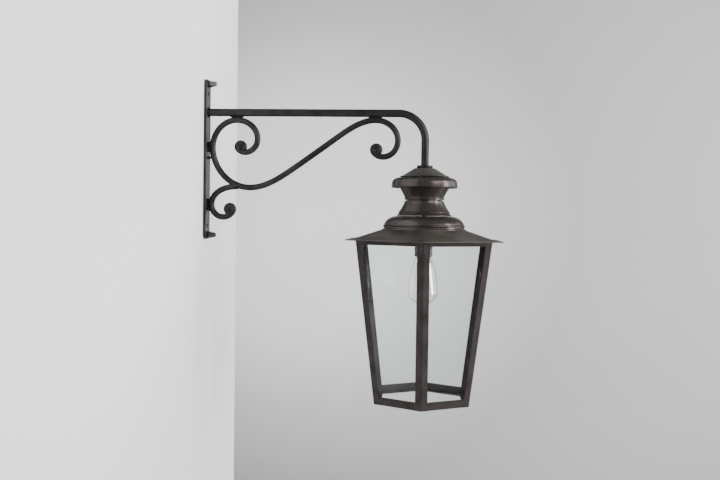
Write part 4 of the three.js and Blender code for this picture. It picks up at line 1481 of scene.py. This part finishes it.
    def build(self, shop: Workshop) -> None:
        """Make the canopy.

        Args:
            shop: Where it is made.
        """
        on = Body.LANTERN
        shop.place(self.collar(), IRON, on, "collar_nut")
        shop.place(Shell("threaded_rod", LANTERN_AT).add(self.rod(), ring=True), ZINC, on, "hanging_rod")
        turned = {
            "cap_top_cone": (self.cone_line(), DULL_PATINA, ("cap_cone",)),
            "cap_brim": (self.brim_line(), PATINA, ("cap_shoulder", "cap_rim", "cap_band")),
            "chimney_upper": (self.upper_neck_line(), PATINA, ("neck_upper",)),
            "chimney_lower": (self.lower_neck_line(), PATINA, ("neck_lower",)),
        }
        for name, (line, finish, nodes) in turned.items():
            shell = Shell(name, LANTERN_AT).add(revolve(sheet(line, self.sheet)), ring=True)
            shop.place(shell, finish, on, *nodes)
        shop.place(Shell("roof_bell", LANTERN_AT).add(self.bell_net(), ring=True), PATINA, on, "bell")
        roof = Shell("hipped_roof", LANTERN_AT).add(hexagonal(self.roof_section(), self.fold), ring=True)
        shop.place(roof, DULL_PATINA, on, "roof")
        for side, height in zip(("upper", "lower"), self.nut_tops):
            shop.place(self.nut(f"strap_nut_{side}", height), BRASS, on, f"rod_nut_{side}")
        shop.dress(PATINA, "cap_leg_1", "cap_leg_2", "cap_leg_3")
        shop.dress(ZINC, "bridge_strap")


@dataclass
class GlazedBody:
    """The six-sided body: two frames, six folded posts, six panes and their clips."""

    top: float = -280.69
    height: float = 364.6
    top_radius: float = 170.6
    foot_radius: float = 120.0
    sheet: float = 1.5
    leg: float = 15.0
    drop: float = 12.5
    rail: float = 18.6
    flange: float = 15.5
    fold: float = 1.6
    inner_fold: float = 0.96
    frame_fold: float = 2.0
    edge_easing: float = 0.6
    lap: float = 0.25
    frame_easing: tuple = (1.2, 0.5, 0.5, 0.6, 0.5, 0.5)

    @property
    def foot(self) -> float:
        """The body's lower edge."""
        return self.top - self.height

    def corner(self, height: float) -> float:
        """The corner radius at a height.

        Args:
            height: Where.

        Returns:
            Distance from the axis to the corner.
        """
        share = (self.top - height) / self.height
        return self.top_radius + (self.foot_radius - self.top_radius) * share

    def frame_ring(self, name: str, edge: float, leg: float) -> Shell:
        """A frame of angle section, set back a little so that the posts lap over it.

        Args:
            name: The piece's name.
            edge: Height of its outer edge.
            leg: Its upright leg, below zero where it points down.

        Returns:
            The frame.
        """
        far, web = edge + leg, edge + math.copysign(self.sheet, leg)
        s, lap = self.sheet / HEX_FLAT, self.lap / HEX_FLAT
        flange = self.corner(edge) - self.leg / HEX_FLAT
        line = [
            (self.corner(edge) - lap, edge), (self.corner(far) - lap, far), (self.corner(far) - s, far),
            (self.corner(web) - s, web), (flange, web), (flange, edge),
        ]
        section = softened(np.array(line, float), np.array(self.frame_easing))
        return Shell(name, LANTERN_AT).add(hexagonal(section, self.frame_fold), ring=True)

    def post_net(self) -> Array:
        """A folded post: its section leans out with height by the body's taper.

        A point (x, y) of the section stands at (corner(z) + x, y, z), with both flanges at 60
        degrees to the corner's radius.

        Returns:
            Closed net that starts and ends in a point inside the fold.
        """
        side = np.array([-0.5, HEX_FLAT])
        inward = np.array([-HEX_FLAT, -0.5]) * self.sheet
        tip, flip = side * self.flange, np.array([1.0, -1.0])
        half = [tip, tip + inward]
        line = [(0.0, 0.0), half[0], half[1], (-self.sheet / HEX_FLAT, 0.0), half[1] * flip, half[0] * flip]
        ease = self.edge_easing
        cut = np.array([self.fold, ease, ease, self.inner_fold, ease, ease])
        section = softened(np.array(line, float), cut)
        z = np.array([self.foot, self.foot, self.foot + 1.0, self.top - 1.0, self.top, self.top])
        scale = np.array([0, 1, 1, 1, 1, 0])[:, None]
        heart = -self.sheet / HEX_FLAT / 2
        x = self.corner(z)[:, None] + heart + (section[None, :, 0] - heart) * scale
        y = section[None, :, 1] * scale
        return np.stack([x, y, z[:, None] + 0 * y], -1)

    def build(self, shop: Workshop) -> None:
        """Make the body.

        Args:
            shop: Where it is made.
        """
        on = Body.LANTERN
        shop.place(self.frame_ring("frame_top", self.top, -self.drop), POST_PATINA, on, "top_frame")
        shop.place(self.frame_ring("frame_bottom", self.foot, self.rail), POST_PATINA, on, "bottom_frame")
        for i in range(6):
            shell = Shell(f"post_{i + 1}", LANTERN_AT).add(self.post_net(), turn=i * 60.0 - 90.0)
            shop.place(shell, POST_PATINA, on, f"corner_post_{i + 1}")
            shop.dress(PANE, f"glass_pane_{i + 1}")
            shop.dress(POST_PATINA, f"glass_clip_{i + 1}")


@dataclass
class LampHolder:
    """The black lampholder over the bulb and its inner parts."""

    radius: float = 20.0
    rod_hole: float = 5.3
    crown: float = 9.0
    dome: float = 14.0
    wall: float = 2.0
    top: float = -270.09
    seam: float = -289.09
    seam_gap: float = 0.3
    seam_lip: float = 0.5
    lip_rows: tuple = (2.4, 1.6)
    foot_easing: tuple = (0.4, 1.2)
    easing: float = 0.6
    foot: float = -320.39

    def build(self, shop: Workshop) -> None:
        """Make the holder.

        Args:
            shop: Where it is made.
        """
        r = self.radius
        dome = bezier((self.crown, self.top), (r, self.top), (r, self.top - self.dome), 20)
        lip, (high, low), (inward, up) = r - self.seam_lip, self.lip_rows, self.foot_easing
        edge = [(r, self.seam + high), (lip, self.seam + low), (lip, self.seam)]
        line = np.vstack([[(self.rod_hole, self.top)], dome, edge])
        upper = Shell("holder_dome", LANTERN_AT).add(revolve(sheet(line, self.wall)), ring=True)
        shop.place(upper, BLACK, Body.LANTERN, "holder_top")
        top, foot, inside = self.seam - self.seam_gap, self.foot, r - self.wall
        line = [(inside, foot), (r - inward, foot), (r, foot + up)]
        line += [(r, top - low), (lip, top), (inside, top)]
        section = softened(np.array(line, float), self.easing)
        skirt = Shell("holder_sleeve", LANTERN_AT).add(revolve(section), ring=True)
        shop.place(skirt, BLACK, Body.LANTERN, "holder_skirt")
        shop.dress(CERAMIC, "holder_insert")
        shop.dress(BRASS, "holder_screw_shell", "holder_contact")


@dataclass
class FilamentBulb:
    """A clear pear-shaped bulb with upright filaments."""

    neck_radius: float = 14.0
    tuck_radius: float = 12.1
    tuck: float = -307.7
    neck: float = -316.0
    neck_rows: tuple = (0.6, 0.5, 1.4)
    neck_inset: float = 0.4
    shoulder_pull: tuple = (0.97, 0.62)
    belly: float = -399.69
    foot: float = -429.69
    radius: float = 33.0
    wall: float = 1.0
    flats: int = 80
    high: float = -335.69
    low: float = -406.69
    top_radius: float = 13.5
    foot_radius: float = 21.5
    stem_radius: float = 7.5
    stem_drop: float = 0.5
    stem_pull: tuple = (0.5, 3.1)
    stem_end: tuple = (0.1, 15.1)
    stem_flats: int = 24
    rod_radius: float = 1.7
    wire: float = 0.45
    wire_start: float = 0.5
    wire_past: float = 0.2
    wire_points: int = 8
    wire_nose: float = 0.2
    strip: float = 1.3
    glint_radius: float = 1.9
    strip_points: int = 12
    strip_nose: float = 0.9
    strands: int = 4

    def glass(self) -> Array:
        """The bulb: a shoulder curve, an elliptical end, and the same wall inside.

        Returns:
            Closed net that starts and ends on the axis inside and outside.
        """
        (out, up), (above, below, start) = self.shoulder_pull, self.neck_rows
        pull = (self.radius * out, self.belly + up * (self.neck - self.belly))
        neck = [(self.tuck_radius, self.tuck), (self.tuck_radius, self.neck + above)]
        neck += [(self.neck_radius - self.neck_inset, self.neck - below)]
        shoulder = bezier((self.neck_radius, self.neck - start), pull, (self.radius, self.belly), 40)
        end = arc((0, self.belly), (self.radius, self.belly - self.foot), 0, -90, 26)[1:]
        outer = np.vstack([neck, shoulder, end])
        inner = inset(outer, self.wall)
        inner[-1] = (0.0, self.foot + self.wall)
        return revolve(np.vstack([outer[::-1], inner]), self.flats)

    def wires(self) -> tuple[Shell, Shell, Shell]:
        """The glass stem with its wires, and the upright strips between the wires' ends.

        Returns:
            The stem with its wires, the strips, and a thicker strip that glows as a painted highlight,
            standing in for the window's reflection on the bulb.
        """
        stem = Shell("bulb_stem", LANTERN_AT)
        r, top = self.rod_radius, self.neck - self.stem_drop
        (out, down), (past, run) = self.stem_pull, self.stem_end
        flare = bezier((self.stem_radius, top), (r + out, top - down), (r + past, top - run), 14)
        end = arc((0, self.low), (r, r), 0, -90, 6)
        line = np.vstack([[(0, top)], flare, [(r, self.low + 1.0)], end])
        stem.add(revolve(line, self.stem_flats))
        strips, bright = Shell("bulb_strips", LANTERN_AT), Shell("bulb_painted_glint", LANTERN_AT)
        for i in range(self.strands):
            turn = i / self.strands * 360.0
            for reach, height in ((self.top_radius, self.high), (self.foot_radius, self.low)):
                along = np.linspace(self.wire_start, reach + self.wire_past, self.wire_points)
                path = np.column_stack([along, np.full(len(along), height)])
                stem.add(bar(path, np.zeros(len(along)), self.wire, self.wire_nose), turn=turn)
            drop = np.array([self.foot_radius - self.top_radius, self.low - self.high])
            share = np.linspace(0, 1, self.strip_points)[:, None]
            line = np.array([self.top_radius, self.high]) + share * drop
            heading = np.full(len(line), math.atan2(drop[1], drop[0]))
            # The first strand's strip is the painted highlight: a thicker, brighter glowing strip.
            shell, radius = (strips, self.strip) if i else (bright, self.glint_radius)
            shell.add(bar(line, heading, radius, self.strip_nose), turn=turn)
        return stem, strips, bright

    def build(self, shop: Workshop) -> None:
        """Make the bulb.

        Args:
            shop: Where it is made.
        """
        envelope = Shell("bulb_envelope", LANTERN_AT).add(self.glass())
        shop.place(envelope, BULB_GLASS, Body.BULB, "bulb_glass")
        stem, strips, bright = self.wires()
        shop.place(stem, ZINC, Body.BULB)
        shop.place(strips, FILAMENT, Body.BULB, "bulb_filaments")
        shop.place(bright, PAINTED_GLINT, Body.BULB)
        shop.dress(BRASS, "bulb_cap")


# The studio


@dataclass
class Studio:
    """The camera, the soft lights, and the wall, backdrop and floor with painted light, in metres."""

    lens: float = 43.08
    film: float = 36.0
    sight: float = 50.0
    spot: tuple = (0.4987, -1.9430, -0.1245)
    turn: tuple = (0.0731, -0.0277, -0.0138)
    room_low: tuple = (-3.0, -4.0, -1.6)
    room_high: tuple = (5.0, 2.6, 3.0)
    wall_face: float = -0.0006
    wall_span: tuple = (-1.05, 0.33)
    wall_top: float = 1.4
    wall_tone: tuple = (0.52, 0.52, 0.52)
    wall_heart: tuple = (0.0, -0.7, 0.35)
    # Painted light: the wall's glow is brightest near its heart and fades away from it, darker towards the
    # far edge and the bottom.
    wall_glow: tuple = (
        (0.0, 0.64), (0.1, 0.67), (0.15, 0.72), (0.185, 0.68), (0.205, 0.57), (0.24, 0.45), (0.3, 0.34),
        (1.0, 0.1),
    )
    backdrop_tone: tuple = (0.54, 0.54, 0.54)
    backdrop_heart: tuple = (-0.15, 2.6, -0.15)
    # Painted light: the backdrop's glow is a pool of light round its heart.
    backdrop_glow: tuple = ((0.0, 0.80), (0.14, 0.68), (0.26, 0.22), (0.36, 0.0), (1.0, 0.0))
    floor_tone: tuple = (0.70, 0.70, 0.69)
    floor_heart: tuple = (0.5, 0.0, 0.0)
    # Painted light: a faint glow on the floor, brightest under the light.
    floor_glow: tuple = ((0.0, 0.05), (1.0, 0.0))
    glow_reach: float = 4.0
    lamps: tuple = (
        ("window", (3.1, -0.4, 0.35), (0.4, 0.0, -0.1), (0.8, 2.6), 125.0),
        ("side", (3.3, 1.4, 0.3), (0.5, 0.0, -0.1), (2.0, 2.6), 75.0),
        ("fill", (2.5, -2.0, 0.9), (0.5, 0.0, -0.2), (1.6, 1.6), 60.0),
    )
    world: float = 0.35

    def camera(self) -> None:
        """Set the photograph's camera: turned about z, then x, then y."""
        data = bpy.data.cameras.new("camera")
        data.lens, data.sensor_width = self.lens, self.film
        data.clip_end = self.sight
        camera = bpy.data.objects.new("camera", data)
        bpy.context.scene.collection.objects.link(camera)
        z, x, y = self.turn
        turn = Matrix.Rotation(z, 3, "Z") @ Matrix.Rotation(x, 3, "X") @ Matrix.Rotation(y, 3, "Y")
        right, forward, up = (turn.col[i] for i in range(3))
        basis = Matrix((right, up, -forward)).transposed().to_4x4()
        basis.translation = self.spot
        camera.matrix_world = basis
        bpy.context.scene.camera = camera

    def card(self, name: str, corners: list[tuple], finish: bpy.types.Material) -> None:
        """A flat stage card.

        Args:
            name: Its name.
            corners: Four corners in metres.
            finish: Its material.
        """
        mesh = bpy.data.meshes.new(name)
        mesh.from_pydata(corners, [], [(0, 1, 2, 3)])
        mesh.materials.append(finish)
        card = bpy.data.objects.new(name, mesh)
        bpy.context.scene.collection.objects.link(card)

    def paint(
        self, name: str, colour: tuple, glow: tuple, heart: tuple, one_sided: bool = True
    ) -> bpy.types.Material:
        """Matt paint with the faintest unevenness, plus painted light: an emission that fades with distance
        from a heart, standing in for lamp light and shade on the card.

        Args:
            name: Its name.
            colour: Its colour.
            glow: How bright at a share of the glow's reach from its heart, as rows of share and value.
            heart: Where the glow has its middle.
            one_sided: True where the back lets everything through.

        Returns:
            The material.
        """
        made, wiring, shader, surface = new_material(name)
        place = wiring.node("ShaderNodeTexCoord").outputs["Object"]
        noise = wiring.node("ShaderNodeTexNoise", {"Vector": place}, Scale=1.5, Detail=3.0)
        pale = tuple(min(1.0, part * 1.02) for part in colour)
        tone = wiring.ramp(noise.outputs["Fac"], [(0.3, colour), (0.7, pale)])
        wiring.tree.links.new(tone, shader.inputs["Base Color"])
        shader.inputs["Roughness"].default_value = 0.9
        shader.inputs["Specular IOR Level"].default_value = 0.2
        # Painted light: the emission fades with distance from the heart.
        off = wiring.node("ShaderNodeVectorMath", {0: place}, operation="DISTANCE")
        off.inputs[1].default_value = heart
        far = wiring.span(off.outputs["Value"], 0.0, self.glow_reach, (0.0, 1.0))
        stops = [(share, (value, value, value * 1.004)) for share, value in glow]
        wiring.tree.links.new(wiring.ramp(far, stops), shader.inputs["Emission Color"])
        shader.inputs["Emission Strength"].default_value = 1.0
        if one_sided:
            back = wiring.node("ShaderNodeNewGeometry").outputs["Backfacing"]
            clear = wiring.node("ShaderNodeBsdfTransparent")
            source = {0: back, 1: shader.outputs[0], 2: clear.outputs[0]}
            mix = wiring.node("ShaderNodeMixShader", source)
            wiring.tree.links.new(mix.outputs[0], surface)
        return made

    def lamp(self, name: str, spot: tuple, aim: tuple, size: tuple, power: float) -> None:
        """A soft rectangular lamp.

        Args:
            name: Its name.
            spot: Where it stands in metres.
            aim: What it points at.
            size: Width and height in metres.
            power: In watts.
        """
        data = bpy.data.lights.new(name, "AREA")
        data.shape, (data.size, data.size_y), data.energy = "RECTANGLE", size, power
        lamp = bpy.data.objects.new(name, data)
        bpy.context.scene.collection.objects.link(lamp)
        away = (Vector(spot) - Vector(aim)).normalized()
        lamp.matrix_world = Matrix.Translation(spot) @ away.to_track_quat("Z", "Y").to_matrix().to_4x4()

    def build(self) -> None:
        """Make the studio."""
        self.camera()
        (left, front, low), (right, back, high) = self.room_low, self.room_high
        x, (near, far), top = self.wall_face, self.wall_span, self.wall_top
        wall = self.paint("wall_paint", self.wall_tone, self.wall_glow, self.wall_heart)
        self.card("side_wall", [(x, near, low), (x, far, low), (x, far, top), (x, near, top)], wall)
        paint = self.paint("backdrop_paint", self.backdrop_tone, self.backdrop_glow, self.backdrop_heart)
        corners = [(left, back, low), (right, back, low), (right, back, high), (left, back, high)]
        self.card("backdrop", corners, paint)
        paint = self.paint("floor_paint", self.floor_tone, self.floor_glow, self.floor_heart, False)
        corners = [(left, front, low), (right, front, low), (right, back, low), (left, back, low)]
        self.card("floor", corners, paint)
        for lamp in self.lamps:
            self.lamp(*lamp)
        world = bpy.data.worlds.new("studio")
        bpy.context.scene.world = world
        world.use_nodes = True
        sky = world.node_tree.nodes["Background"]
        sky.inputs["Color"].default_value = (self.world, self.world, self.world * 1.01, 1.0)
        sky.inputs["Strength"].default_value = 1.0


def main() -> None:
    """Build the studio and the light, piece by piece."""
    logging.basicConfig(level=logging.INFO, format="%(message)s")
    Studio().build()
    shop = Workshop()
    for part in (WallPlate(), ScrollBracket(), Canopy(), GlazedBody(), LampHolder(), FilamentBulb()):
        log.info("building %s", type(part).__name__)
        part.build(shop)


if __name__ == "__main__":
    main()
